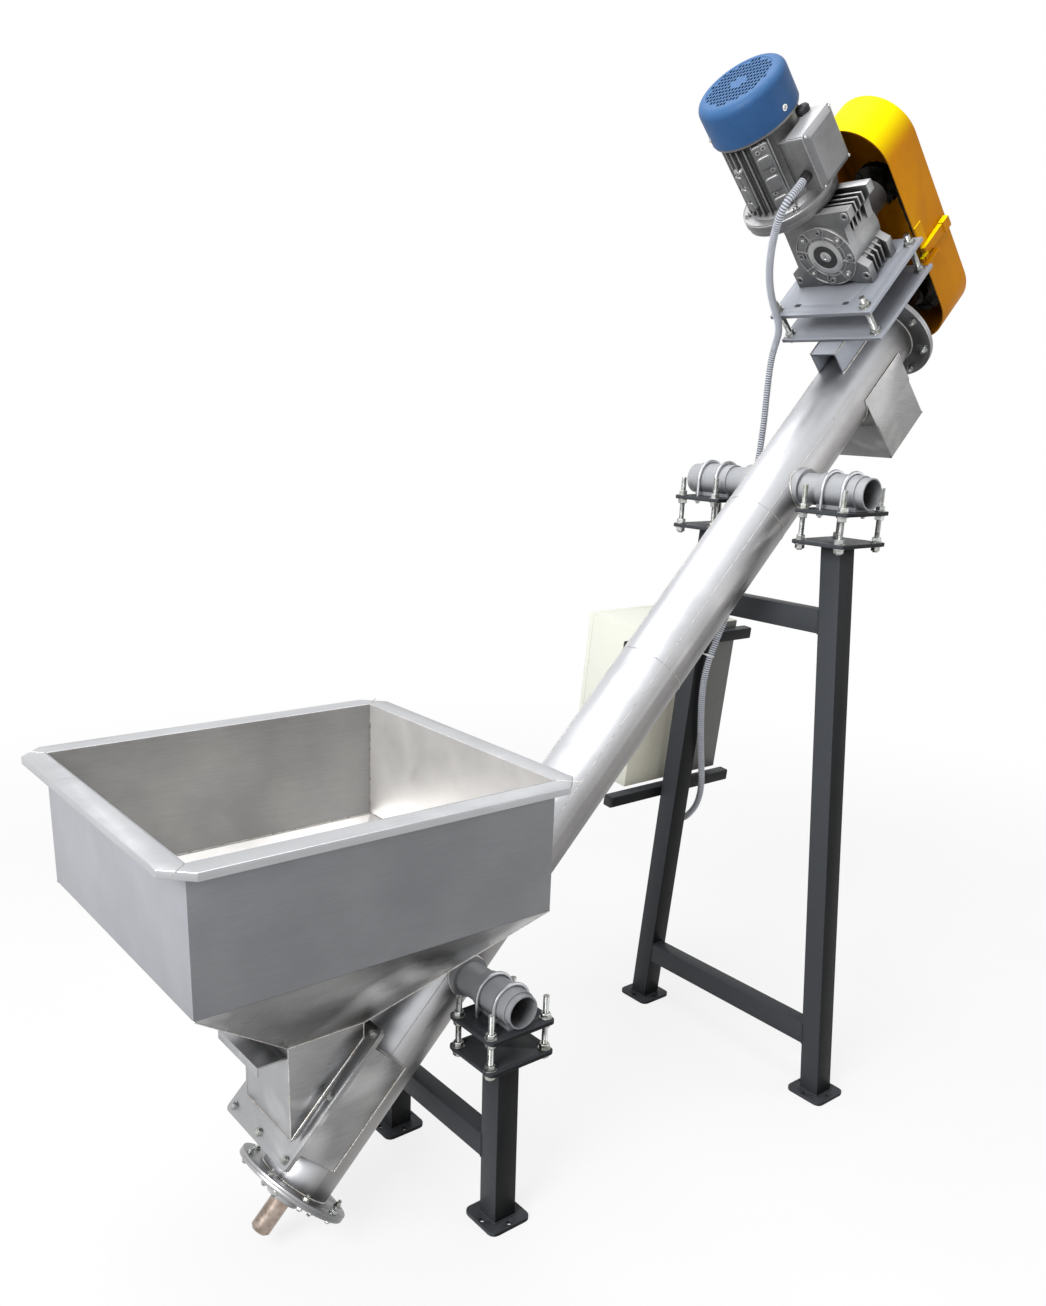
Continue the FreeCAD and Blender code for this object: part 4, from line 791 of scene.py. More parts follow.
def sized(radius, height):
    return radius / 1000, radius / 1000, height / 1000


def setOn(places, base, point, along, radius, height):
    # base is the plant's or the tube's frame; radius and height in mm
    places.append(placed(base @ placeAt(point, along), sized(radius, height)))


def rod(radius, base, *points):
    rods.append((radius, [base @ Vector(p) for p in points]))


def nutWithWasher(base, point, along, radius, height, turn=0.0):
    f = fastener
    way = Vector(along)
    side = (math.cos(turn), math.sin(turn), 0) if abs(way.z) > 0.9 else (0, math.cos(turn), math.sin(turn))
    spot = base @ placeAt(Vector(point) + way * f["washerT"] * 0.8, way, side)
    nuts.append(placed(spot, sized(radius, height)))
    setOn(washers, base, point, along, radius * f["washerOver"], f["washerT"])


def standFasteners():
    f, t = fastener, stand["plateT"]
    random.seed(7)
    bars = []
    for end in ("front", "rear"):
        x, z = trunnionX[end], trunnionZ[end]
        low, high = z - layout["headDrop"], z - layout["clampDrop"]
        for side in (1, -1):
            y = side * layout[end + "HeadY"]
            for dx in (stand["studX"], -stand["studX"]):
                for dy in (stand["studY"], -stand["studY"]):
                    at = (x + dx, y + dy)
                    for height, along in ((low, down), (low + t, up), (high - t, down), (high, up)):
                        nutWithWasher(plantFrame, (*at, height), along, f["nut"] - 0.6, f["nutT"],
                                      random.uniform(0, 1))
                    top = high + f["headStudRise"] + random.uniform(-14, 6)
                    rod(f["headStudR"], plantFrame, (*at, low - f["nutT"] - 6), (*at, top))
            for dy in (stand["uBoltApart"], -stand["uBoltApart"]):
                a = stand["sleeveR"] + f["uBoltR"] + 0.3
                foot = high - t - stand["uBoltTail"]
                arc = [plantPoint(x + a * math.cos(w), y + dy, z + a * math.sin(w))
                       for w in (math.pi * i / 28 for i in range(29))]
                tails = [plantPoint(x + dx, y + dy, foot + 2) for dx in (a, -a)]
                bars.append((f["uBoltR"], [tails[0], *arc, tails[1]]))
                for dx in (a, -a):
                    nutWithWasher(plantFrame, (x + dx, y + dy, high - t), down, f["smallNut"] - 0.6,
                                  f["smallNutT"] - 2)
                    rod(f["uBoltR"] + 0.05, plantFrame, (x + dx, y + dy, foot), (x + dx, y + dy, high - t))
    keepPiece(ribbed("uBoltBars", bars, "rod", 0.0, 9.0, 2, 12), "zinc", "u_bolts")


carriage = {"baseN": 178.0, "plateT": 12.0, "gap": 90.0, "s": (3412.0, 3692.0), "y": (-162.0, 183.0)}


def carriageFasteners():
    f, c = fastener, carriage
    low, high = c["baseN"], c["baseN"] + 2 * c["plateT"] + c["gap"]
    for s in c["s"]:
        for y in c["y"]:
            for n, along in ((low, down), (low + c["plateT"], up), (high - c["plateT"], down), (high, up)):
                nutWithWasher(tubeFrame, (s, y, n), along, f["nut"] - 0.4, f["nutT"] - 1, random.uniform(0, 1))
            rod(f["plateStudR"], tubeFrame, (s, y, low - f["nutT"] - 4), (s, y, high + f["plateStudRise"]))


tubeEnds = {"low": 250.0, "high": 3612.0, "flangeT": 9.0, "boltCircle": 155.0, "bolts": 8,
            "bearingCircle": 92.0, "bearingT": 16.0, "bearingTurn": 13.0, "boltR": 6.0}


def endFasteners():
    # bolts through both end flanges and the four of each flanged bearing
    f, e = fastener, tubeEnds
    for face, inner, way in ((e["low"] - e["flangeT"], e["low"] + e["flangeT"], -1),
                             (e["high"] + e["flangeT"], e["high"] - e["flangeT"], 1)):
        for i in range(e["bolts"]):
            a = 2 * math.pi * (i + 0.5) / e["bolts"]
            y, n = e["boltCircle"] * math.cos(a), e["boltCircle"] * math.sin(a)
            nutWithWasher(tubeFrame, (face, y, n), (way, 0, 0), f["boltNut"], f["boltNutT"] + 1, a)
            nutWithWasher(tubeFrame, (inner, y, n), (-way, 0, 0), f["boltNut"], f["boltNutT"], a)
            rod(e["boltR"], tubeFrame, (inner - way * 18, y, n), (face + way * 14, y, n))
        for i in range(4):
            a = math.radians(45 + 90 * i + e["bearingTurn"] * way)
            y, n = e["bearingCircle"] * math.cos(a), e["bearingCircle"] * math.sin(a)
            foot = face + way * e["bearingT"]
            nutWithWasher(tubeFrame, (foot, y, n), (way, 0, 0), f["smallNut"], f["smallNutT"], a)
            rod(e["boltR"], tubeFrame, (face, y, n), (foot + way * 18, y, n))


inlet = {"s": (334.0, 728.0), "y": 153.0, "top": 216.0, "low": 200.0, "boxS": (352.0, 694.0), "boxY": 112.0}


def inletFasteners():
    f, p = fastener, inlet
    middle = sum(p["s"]) / 2
    for s in (p["s"][0], middle, p["s"][1]):
        for y in (-p["y"], 0, p["y"]):
            if s == middle and y == 0:
                continue
            nutWithWasher(tubeFrame, (s, y, p["top"]), up, f["boltNut"] + 0.4, f["boltNutT"], s * y)
            nutWithWasher(tubeFrame, (s, y, p["low"]), down, f["boltNut"], f["boltNutT"], s * y)
            rod(tubeEnds["boltR"], tubeFrame, (s, y, p["low"] - 16), (s, y, p["top"] + 11))


# Worm gearbox: the details on its near face
gear = {"n": 408.0, "faceS": 3513.0, "hubS": 3509.0, "sealR": 43.0, "hubR": 62.0, "boltCircle": 91.0,
        "bossR": 13.0, "lugs": ((-117, 322), (146, 322), (110, 522), (-124, 540)), "lugS": 3517.0,
        "rings": ((70.0, 76.0), (104.0, 108.0)), "lipR": 20.6, "ribs": (64.0, 104.0), "ribW": 3.2, "bosses": 8,
        "bossH": 6.0, "bossHole": 5.4, "shaftS": 3511.0}


def hollowBoss(name, base, point, along, outer, inner, height, finish, deep=2.0):
    rings = turned(((outer, 0), (outer * 0.93, height), (inner * 1.1, height), (inner, height - 0.6),
                    (inner, height - deep)), 20)
    return ringed(name, rings, finish, base @ placeAt(point, along))


def makeGearboxFace():
    g, out = gear, (-1, 0, 0)
    face = onTube((g["faceS"], 0, g["n"]), out)
    hub = onTube((g["hubS"], 0, g["n"]), out)
    low, high = g["ribs"]
    bosses, holes, heads = [], [], []
    for i in range(g["bosses"]):
        a = math.radians(45 * i + 6)
        at = (g["faceS"], g["boltCircle"] * math.cos(a), g["n"] + g["boltCircle"] * math.sin(a))
        bosses.append(hollowBoss("boss", tubeFrame, at, out, g["bossR"], g["bossHole"], g["bossH"], "cast",
                                 5.0))
        if i % 2:
            setOn(heads, tubeFrame, (at[0] - 3, at[1], at[2]), out, 7.4, 6.5)
        else:
            setOn(holes, tubeFrame, at, out, 4.7, 0.8)
        w = g["ribW"]
        turn = Matrix.Rotation(math.radians(45 * i + 28), 4, "Z")
        bar = [[(low, -w, 0), (high, -w, 0), (high, w, 0), (low, w, 0)],
               [(low, -w * 0.6, 5), (high, -w * 0.6, 3.5), (high, w * 0.6, 3.5), (low, w * 0.6, 5)]]
        bosses.append(ringed("rib", bar, "cast", face @ turn))
    for y, n in g["lugs"]:
        bosses.append(hollowBoss("boss", tubeFrame, (g["lugS"], y, n), out, 14.0, 7.0, 3.0, "cast", 2.6))
        setOn(holes, tubeFrame, (g["lugS"], y, n), out, 6.9, 0.6)
    for inner, outer in g["rings"]:
        profile = ((outer, 0), (outer - 1, 2.2), (inner + 1, 2.2), (inner, 0), (inner, -1), (outer, -1))
        bosses.append(ringed("ridge", turned(profile, 64), "cast", face, True))
    keepPiece(joined("gearboxBosses", bosses), "gear_cast")
    hubR, seal, lip = g["hubR"], g["sealR"], g["lipR"]
    rim = turned(((hubR, -3), (hubR, 0.4), (hubR - 1.2, 1.2), (seal + 1, 1.2), (seal, 0.4), (seal, -3)), 72)
    keepPiece(ringed("gearboxHubFace", rim, "machined", hub, True), "gear_cast")
    ring = turned(((seal - 0.6, -0.6), (seal - 0.6, 0.6), (seal - 5, 1.0), (30, -0.2), (24, 0.8), (lip, 0.8),
                   (lip, -0.6)), 64)
    rubber = onTube((g["hubS"] + 0.6, 0, g["n"]), out)
    keepPiece(ringed("sealLip", ring, "rubber", rubber, True), "seal_rubber")
    keepPiece(repeated("gearboxHoles", shapes["disc"], holes, "rubber"), "seal_rubber")
    keepPiece(repeated("gearboxScrews", shapes["dome"], heads, "zinc", 50.0), "zinc")
    tip = turned(((20, 0), (20, 0.6), (17, 2), (9, 2), (8, 0.8), (3.5, 0.8), (3.0, -2.0)), 32)
    shaft = ringed("outputShaftCentre", tip, "machined", onTube((g["shaftS"], 0, g["n"]), out))
    keepPiece(shaft, "screw_steel", body="output")


# Motor: cast feet pads between the fins, flange bolts, fan cover with its grid, terminal lid
motor = {"s": 3586.0, "y": 108.0, "bodyR": 112.0, "finR": 127.0, "flangeN": 601.0, "flangeBolts": 137.0,
         "pads": ((214.0, 27.0, 628.0, 838.0), (163.0, 20.0, 640.0, 780.0)),
         "fanR": 141.0, "fanN": (860.0, 982.0), "fanRound": 30.0, "fanWall": 3.0, "gridR": 106.0,
         "plainR": 30.0, "pitch": (16.4, 12.6), "slot": (12.0, 8.4), "sink": 1.8,
         "screwTurns": (24.0, 144.0, 262.0), "screwN": 886.0,
         "boxHalfS": 76.0, "boxN": (642.0, 822.0), "plug": (3636.0, -26.0), "lidY": -96.0, "lidT": 16.0,
         "lidBevel": 17.0, "lidCorner": 14.0}


def motorSpot(turn, n, radius):
    a = math.radians(turn)
    x, y = math.cos(a), math.sin(a)
    return (motor["s"] + radius * x, motor["y"] + radius * y, n), (x, y, 0)


def makeMotorPads():
    m = motor
    parts, holes = [], []
    for turn, half, n0, n1 in m["pads"]:
        spot, out = motorSpot(turn, (n0 + n1) / 2, m["bodyR"] - 8)
        high = (n1 - n0) / 2
        base = onTube(spot, out, (0, 0, 1))
        level = m["finR"] - m["bodyR"] + 8
        parts.append(ringed("pad", [roundRect(high - k, half - k, 11 - k, h, 5) for k, h in
                                    ((0, 0), (0, level - 6), (1.2, level - 2.6), (3.6, level - 0.6),
                                     (6.4, level))],
                            "cast", base, angle=50.0))
        for place, w, r in ((-0.80, 17, 9), (-0.22, 24, 10), (0.46, 20, 10)):
            step = [roundRect(w - k, half - 6 - k, r - k, h, 5) for k, h in
                    ((0, level - 2), (0, level + 2.0), (0.9, level + 4.2), (2.8, level + 5.6), (5, level + 6))]
            parts.append(ringed("step", step, "cast", base @ Matrix.Translation((place * high, 0, 0)),
                                angle=50.0))
        for place, side in ((-0.52, 0.35), (0.16, -0.4), (0.80, 0.35), (0.86, -0.35)):
            boss = [circle(7, level - 1, 16), circle(6.5, level + 2.6, 16), circle(3.6, level + 2.6, 16),
                    circle(3.4, level + 0.4, 16)]
            parts.append(ringed("boss", boss, "cast",
                                base @ Matrix.Translation((place * high, side * half, 0))))
            spot = base @ Matrix.Translation((place * high, side * half, level + 0.4))
            holes.append(placed(spot, sized(3.4, 0.8)))
    ledge = [circle(r, h, 96) for r, h in ((154.6, 8), (154.6, 11), (153, 12.5), (153, 16), (151, 16),
                                           (151, 8))]
    parts.append(ringed("ledge", ledge, "cast", onTube((m["s"], m["y"], m["flangeN"] - 14), up), True))
    keepPiece(joined("motorCastDetails", parts), "gear_cast")
    keepPiece(repeated("motorPadHoles", shapes["disc"], holes, "rubber"), "seal_rubber")
    for turn in (45, 135, 225, 315):
        spot, _ = motorSpot(turn, m["flangeN"], m["flangeBolts"])
        nutWithWasher(tubeFrame, spot, up, 9.2, 8.0, turn)
        rod(5.0, tubeFrame, (*spot[:2], m["flangeN"] - 2), (*spot[:2], m["flangeN"] + 14))


def fanGrid():
    # a sheet with rows of slots: the lines of its mesh are the slots' edges, and the slots' faces are left out
    m = motor
    lines = []
    for pitch, slot in zip(m["pitch"], m["slot"]):
        count = int(m["gridR"] / pitch) + 1
        axis = []
        for i in range(-count, count + 1):
            axis += [i * pitch - slot / 2, i * pitch + slot / 2]
        lines.append(axis)
    xs, ys = lines
    bm = bmesh.new()
    corner = {}

    def at(i, j):
        if (i, j) not in corner:
            corner[i, j] = bm.verts.new((xs[i], ys[j], 0))
        return corner[i, j]

    for i in range(len(xs) - 1):
        for j in range(len(ys) - 1):
            far = math.hypot((xs[i] + xs[i + 1]) / 2, (ys[j] + ys[j + 1]) / 2)
            open_ = i % 2 == 0 and j % 2 == 0 and m["plainR"] < far < m["gridR"] - 5
            if far < m["gridR"] + 6 and not open_:
                bm.faces.new((at(i, j), at(i + 1, j), at(i + 1, j + 1), at(i, j + 1)))
    mesh = bpy.data.meshes.new("fanGrid")
    bm.to_mesh(mesh)
    bm.free()
    grid = newObject("fanGrid", mesh)
    thick = grid.modifiers.new("sheet", "SOLIDIFY")
    thick.thickness = 1.8
    thick.offset = -1
    grid = evaluated(grid)
    grid.data.transform(tubeFrame @ Matrix.Translation((m["s"], m["y"], m["fanN"][1] - m["sink"])))
    grid.data.materials.append(finishes["blue"])
    return grid


def makeFanCover():
    m = motor
    n0, n1 = m["fanN"]
    r, c, w, g = m["fanR"], m["fanRound"], m["fanWall"], m["gridR"]
    steps = [math.radians(90.0 * i / 10) for i in range(11)]
    outer = [(r - c + c * math.cos(a), n1 - c + c * math.sin(a)) for a in steps]
    inner = [(r - c + (c - w) * math.cos(a), n1 - c + (c - w) * math.sin(a)) for a in reversed(steps)]
    edge = [(g + 2.0, n1), (g + 0.6, n1 - 0.5), (g, n1 - 1.6), (g, n1 - w)]
    profile = [(r - w, n0), (r - 0.6, n0 - 0.4), (r, n0 + 0.4)] + outer + edge + inner
    shell = ringed("fanShell", turned(profile, 96), "blue",
                   tubeFrame @ Matrix.Translation((m["s"], m["y"], 0)), True, 40.0)
    keepPiece(joined("fanCoverSkin", [shell, fanGrid()]), "fan_blue", "fan_cover")
    wheel = [ringed("hub", turned(((38, 0), (38, 40), (32, 46)), 32), "plastic")]
    # painted shade: a dark disc behind the grid stands in for the shade within the cover, so that the slots
    # look dark
    shroud = ringed("shroud", turned(((g + 8, 92), (g + 8, 94)), 64), "shadow")
    for i in range(9):
        blade = [(20, -1.5, 2), (124, -1.5, 2), (128, -1.5, 30), (108, -1.5, 66), (20, -1.5, 52)]
        rings = [blade, [(x, y + 3, z) for x, y, z in blade]]
        wheel.append(ringed("blade", rings, "plastic", Matrix.Rotation(2 * math.pi * i / 9, 4, "Z")))
    for name, parts in (("fanWheel", wheel), ("fanShroud", [shroud])):
        part = joined(name, parts)
        part.data.transform(tubeFrame @ Matrix.Translation((m["s"], m["y"], n0 + 24)))
        keepPiece(part, "black_plastic")
    heads = []
    for turn in m["screwTurns"]:
        spot, out = motorSpot(turn, m["screwN"], r)
        setOn(heads, tubeFrame, spot, out, 7.0, 5.5)
        setOn(washers, tubeFrame, spot, out, 9.5, 1.6)
    for s in (-1, 1):
        for n in (-1, 1):
            spot = (m["s"] + s * (m["boxHalfS"] - 8), m["lidY"] - 8.0,
                    sum(m["boxN"]) / 2 + n * ((m["boxN"][1] - m["boxN"][0]) / 2 - 8))
            setOn(heads, tubeFrame, spot, (0, -1, 0), 5.2, 4.2)
    keepPiece(repeated("motorScrews", shapes["dome"], heads, "zinc", 50.0), "zinc")


def makeTerminalLid():
    # a cast lid with wide bevels and a shallow parting step; its middle is plain
    m = motor
    half, high = m["boxHalfS"], (m["boxN"][1] - m["boxN"][0]) / 2
    b, c = m["lidBevel"], m["lidCorner"]
    rings = [roundRect(half, high, c, 0), roundRect(half + 1.2, high + 1.2, c, 0.4),
             roundRect(half + 1.2, high + 1.2, c, 2.4),
             roundRect(half - 0.5, high - 0.5, c, 3.4), roundRect(half - b, high - b, c - 8, m["lidT"] - 0.4),
             roundRect(half - b - 1.5, high - b - 1.5, c - 8, m["lidT"])]
    base = onTube((m["s"], m["lidY"], sum(m["boxN"]) / 2), (0, -1, 0), (1, 0, 0))
    lid = ringed("terminalLid", rings, "castLid", base, angle=24.0)
    keepPiece(lid, "gear_cast", "terminal_lid")
    cap = [circle(r, h, 28) for r, h in ((19, -3), (21, 0), (21, 12), (18, 17), (10, 20))]
    plug = ringed("cablePlug", cap, "plastic", onTube((*m["plug"], m["boxN"][1]), up), angle=50.0)
    keepPiece(plug, "black_plastic")


# Drive chain: inner and outer links by turns round both sprockets
chain = {"s": 3845.0, "pitch": 25.4, "plateT": 3.0, "plateGap": 15.8, "plateH": 10.5, "rollerR": 7.9,
         "teeth": (21, 17)}


def chainStations():
    c = chain
    lowR, highR = (c["pitch"] / (2 * math.sin(math.pi / t)) for t in c["teeth"])
    lean = math.asin((lowR - highR) / gear["n"])
    path = []
    for centre, r, start, sweep in ((gear["n"], highR, lean, math.pi - 2 * lean),
                                    (0.0, lowR, math.pi - lean, math.pi + 2 * lean)):
        path += [Vector((r * math.cos(a), centre + r * math.sin(a)))
                 for a in (start + sweep * i / 48 for i in range(49))]
    path.append(path[0])
    total = sum((b - a).length for a, b in zip(path, path[1:]))
    count = 2 * round(total / c["pitch"] / 2)
    stations, done, want = [], 0.0, 0.0
    for a, b in zip(path, path[1:]):
        length = (b - a).length
        while want <= done + length + 1e-6 and len(stations) < count:
            stations.append(a.lerp(b, (want - done) / length if length else 0.0))
            want += total / count
        done += length
    return stations


def linkShape(name, half, thick, gaps):
    # two side plates with round ends, drawn in at the waist
    parts = []
    for gap in gaps:
        outline = []
        for end in (1, -1):
            for i in range(7):
                a = math.radians(-75 + 25 * i) + (0 if end > 0 else math.pi)
                outline.append((half * end + chain["plateH"] * math.cos(a), chain["plateH"] * math.sin(a)))
        rings = [[(x, y, gap) for x, y in outline], [(x, y, gap + thick) for x, y in outline]]
        parts.append(ringed("plate", rings, "black"))
    return joined(name, parts)


def makeChain():
    c = chain
    stations = chainStations()
    half, gap, t = c["pitch"] / 2, c["plateGap"] / 2, c["plateT"]
    inner = linkShape("innerLink", half, t * 0.8, (gap - 0.4, -gap + 0.4 - t * 0.8))
    outer = linkShape("outerLink", half, t * 0.7, (gap + t * 0.8 + 0.2, -gap - 0.2 - t * 1.5))
    places = {0: [], 1: []}
    pins = []
    for i, here in enumerate(stations):
        there = stations[(i + 1) % len(stations)]
        middle, way = (here + there) / 2, (there - here).normalized()
        spot = onTube((c["s"], middle.x, middle.y), (1, 0, 0), (0, way.x, way.y))
        places[i % 2].append(placed(spot, 0.001))
        setOn(pins, tubeFrame, (c["s"] - gap - 2 * t + 0.5, here.x, here.y), (1, 0, 0), 4.2,
              2 * gap + 4 * t - 1)
        setOn(pins, tubeFrame, (c["s"] - gap + 0.6, here.x, here.y), (1, 0, 0), c["rollerR"], 2 * gap - 1.2)
    parts = [repeated("inner", inner, places[0], "black"), repeated("outer", outer, places[1], "black"),
             repeated("pins", shapes["disc"], pins, "black")]
    for shape in (inner, outer):
        bpy.data.objects.remove(shape)
    keepPiece(joined("chainLinks", parts), "black_steel", "drive_chain")


# Weld beads, in the tube's or the plant's frame; ground ones are thinner
weld = {"bead": 3.0, "small": 2.2, "ground": 1.5, "tubeR": 109.5, "boxX": (-266.0, 711.0), "boxY": 446.0,
        "boxZ": 1060.0,
        "rimZ": 1420.0, "rimW": 60.0, "throatX": (107.0, 335.0), "throatY": 130.0, "throatZ": 704.0,
        "ringSeams": (1290.0, 2130.0, 2760.0),
        "seamTurn": 62.0, "seamS": (700.0, 3290.0), "chuteS": (3300.0, 3522.0), "chuteY": 111.0,
        "saddleS": (3326.0, 3600.0), "saddleY": 50.0, "collarR": 62.0,
        "leg": 3.4, "bar": 3.0, "ripple": {"groove": 0.8, "pitch": 6.0, "steps": 3, "sides": 7}}


def arcPoints(s, radius, start, end, count):
    steps = [math.radians(start + (end - start) * i / count) for i in range(count + 1)]
    return [tubePoint(s, radius * math.cos(a), radius * math.sin(a)) for a in steps]


def throatFoot(x):
    return (inlet["top"] + 1 + x * sinA) / cosA


def hopperWelds():
    w, lines = weld, []
    x0, x1, y = *w["boxX"], w["boxY"]
    a, b, t = *w["throatX"], w["throatY"]

    def bead(size, *points):
        lines.append((w[size], [plantPoint(*p) for p in points]))

    for x, inX, throatX in ((x0, 1, a), (x1, -1, b)):
        for side in (1, -1):
            corner = (x + inX * 4, side * (y - 4))
            bead("bead", (*corner, w["boxZ"]), (*corner, w["rimZ"] - 6))
            foot = (throatX, side * t, w["throatZ"])
            bead("small", (x, side * y, w["boxZ"]), foot)
            bead("small", (foot[0], foot[1], throatFoot(foot[0])), foot)
            tip = (x - inX * (w["rimW"] - 13), side * (y + w["rimW"] - 13))
            bead("ground", (x, side * y, w["rimZ"]), (*tip, w["rimZ"]))
    inner = [(x0 + 4, y - 4), (x0 + 4, 4 - y), (x1 - 4, 4 - y), (x1 - 4, y - 4), (x0 + 4, y - 4)]
    bead("small", *[(*p, w["boxZ"] + 1) for p in inner])
    around = ((a, t), (a, -t), (b, -t), (b, t), (a, t))
    bead("small", *[(*p, w["throatZ"]) for p in around])
    bead("bead", *[(*p, throatFoot(p[0])) for p in around])
    return lines


def tubeWelds():
    w, r, e, lines = weld, weld["tubeR"], tubeEnds, []

    def bead(size, *points):
        lines.append((w[size], [tubePoint(*p) for p in points]))

    def ring(size, s, radius, start=0, end=360, count=90):
        lines.append((w[size], arcPoints(s, radius, start, end, count)))

    for s in (e["low"] + e["flangeT"] + 1, e["high"] - e["flangeT"] - 1):
        ring("bead", s, r + 1)
    for s in w["ringSeams"]:
        ring("ground", s, r)
    a = math.radians(w["seamTurn"])
    for turn in (a, math.pi - 0.5 * a):
        bead("ground", *[(s, r * math.cos(turn), r * math.sin(turn)) for s in w["seamS"]])
    lowS, highS = inlet["boxS"]
    for s in (lowS - 1, highS + 1):
        ring("small", s, r + 1, 2, 178, 40)
        bead("small", (s, inlet["boxY"], inlet["low"]), (s, -inlet["boxY"], inlet["low"]))
    for side in (1, -1):
        y, chuteY, saddleY = side * inlet["boxY"], side * w["chuteY"], side * (w["saddleY"] + 0.5)
        for n in (-1, inlet["low"] - 1):
            bead("small", (lowS, y, n), (highS, y, n))
        bead("small", *[(s, chuteY, 1) for s in w["chuteS"]])
        edge = math.sqrt(r * r - w["saddleY"] ** 2)
        for n in (edge + 0.5, carriage["baseN"] - 0.5):
            bead("bead", *[(s, saddleY, n) for s in w["saddleS"]])
        for s in (layout["frontS"], layout["rearS"]):
            c = w["collarR"] + 1
            turns = [2 * math.pi * i / 60 for i in range(61)]
            bead("bead", *[(s + c * math.cos(q), side * (math.sqrt(r * r - (c * math.sin(q)) ** 2) + 1),
                            c * math.sin(q))
                           for q in turns])
    for s in (w["chuteS"][0] - 1, w["chuteS"][1] + 1):
        ring("small", s, r + 1, 182, 358, 40)
    return lines


def legPlace(end, side, z):
    head, foot = layout[end + "HeadY"], layout[end + "FootY"]
    rise = trunnionZ[end] - layout["headDrop"] - stand["footT"]
    return side * (foot + (head - foot) * (z - stand["footT"]) / rise)


def standWelds():
    lines, h = [], stand["legHalf"]
    for end in ("front", "rear"):
        x, top = trunnionX[end], trunnionZ[end] - layout["headDrop"]
        for side in (1, -1):
            for z in (stand["footT"] + 0.5, top - 0.5):
                y = legPlace(end, side, z)
                lines.append((weld["leg"], [plantPoint(x + dx * (h + 0.5), y + dy * (h + 0.5), z)
                                    for dx, dy in ((1, 1), (1, -1), (-1, -1), (-1, 1), (1, 1))]))
            for barTop in stand["barTop"][end]:
                corners = [(x - h + dx, z) for dx,
                           z in ((0, barTop), (stand["barW"], barTop), (stand["barW"], barTop - stand["barH"]),
                                                         (0, barTop - stand["barH"]), (0, barTop))]
                lines.append((weld["bar"], [plantPoint(px, legPlace(end, side, z) - side * h, z) for px,
                                            z in corners]))
    return lines


# Guard: strap round its near edge and the hook bolt that draws it to the base plate
guard = {"low": 3750.0, "r": 147.0, "strapN": 198.0, "strapH": 30.0, "hookY": -163.0, "hookN": 181.0,
         "baseS": 3702.0}


def makeGuardTrim():
    g = guard
    y = -g["r"]
    strap = []
    for s0, s1, y0, y1, n0, n1 in ((g["low"] - 2, g["low"] + 138, y - 17, y - 0.2, g["strapN"],
                                    g["strapN"] + g["strapH"]),
                                   (g["low"] + 112, g["low"] + 148, y - 22, y - 2, g["strapN"] - 3,
                                    g["strapN"] + g["strapH"] + 4),
                                   (g["low"] - 26, g["low"] + 4, y - 22, y - 8, g["strapN"] - 10,
                                    g["strapN"] + 12),
                                   (g["low"] - 30, g["low"] - 18, y - 22, y - 8, g["strapN"] - 20,
                                    g["strapN"] + 12)):
        mid = ((s0 + s1) / 2, (y0 + y1) / 2, n0)
        rings = [roundRect((s1 - s0) / 2 - k, (y1 - y0) / 2 - k, 1.5, h, 2) for k,
                 h in ((0.6, 0), (0, 0.8), (0, n1 - n0 - 0.8), (0.6, n1 - n0))]
        strap.append(ringed("strap", rings, "yellow", tubeFrame @ Matrix.Translation(mid)))
    keepPiece(joined("guardStrap", strap), "guard_yellow")
    bend = [(g["low"] + 14, g["hookY"] - 2, g["strapN"] - 6), (g["low"] - 4, g["hookY"] - 3, g["strapN"] - 13),
            (g["low"] - 24, g["hookY"], g["hookN"] - 3),
            (g["baseS"] - 6, g["hookY"] + 6, g["hookN"] - 12)]
    rod(4.0, tubeFrame, *bend)


# White tie that holds the conduit beside the leg
tie = {"at": (2025.0, 250.0, 1470.0), "inner": 13.2, "outer": 15.0, "width": 4.8}


def makeTie():
    spot = plantPoint(*tie["at"])
    k = min(range(1, len(conduitLine) - 1), key=lambda i: (conduitLine[i] - spot).length)
    along = conduitLine[k + 1] - conduitLine[k - 1]
    base = placeAt(conduitLine[k], along) @ Matrix.Scale(0.001, 4)
    half = tie["width"] / 2
    rings = [circle(r, h, 28) for r, h in ((tie["outer"], -half), (tie["outer"], half), (tie["inner"], half),
                                           (tie["inner"], -half))]
    band = ringed("band", rings, "white", base, True)
    head = [roundRect(4, 3.6, 1, h, 2) for h in (-half - 0.8, half + 0.8)]
    head = ringed("head", head, "white", base @ Matrix.Translation((tie["outer"] + 1.5, 0, 0)))
    tail = [roundRect(9, 0.7, 0.4, h, 2) for h in (-half + 0.6, half - 0.6)]
    tail = ringed("tail", tail, "white", base @ Matrix.Translation((tie["outer"] + 9, 2, 0)))
    keepPiece(joined("conduitTie", [band, head, tail]), "black_plastic")


# Rounded black ends of the cabinet's two channels
channel = {"x": (1725.0, 2362.0), "size": 41.0, "z": (903.0, 1500.0), "cap": 5.0}


def makeChannelCaps():
    caps = []
    for z in channel["z"]:
        for x, way in zip(channel["x"], (-1, 1)):
            half = channel["size"] / 2
            rings = [roundRect(half - k, half - k, 5, h, 4) for k,
                     h in ((0.2, -3), (-0.6, 0), (-0.6, 2.5), (2.5, channel["cap"]))]
            spot = plantFrame @ legLean() @ placeAt((x, half, z), (way, 0, 0))
            caps.append(ringed("cap", rings, "plastic", spot))
    keepPiece(joined("channelCaps", caps), "black_plastic")


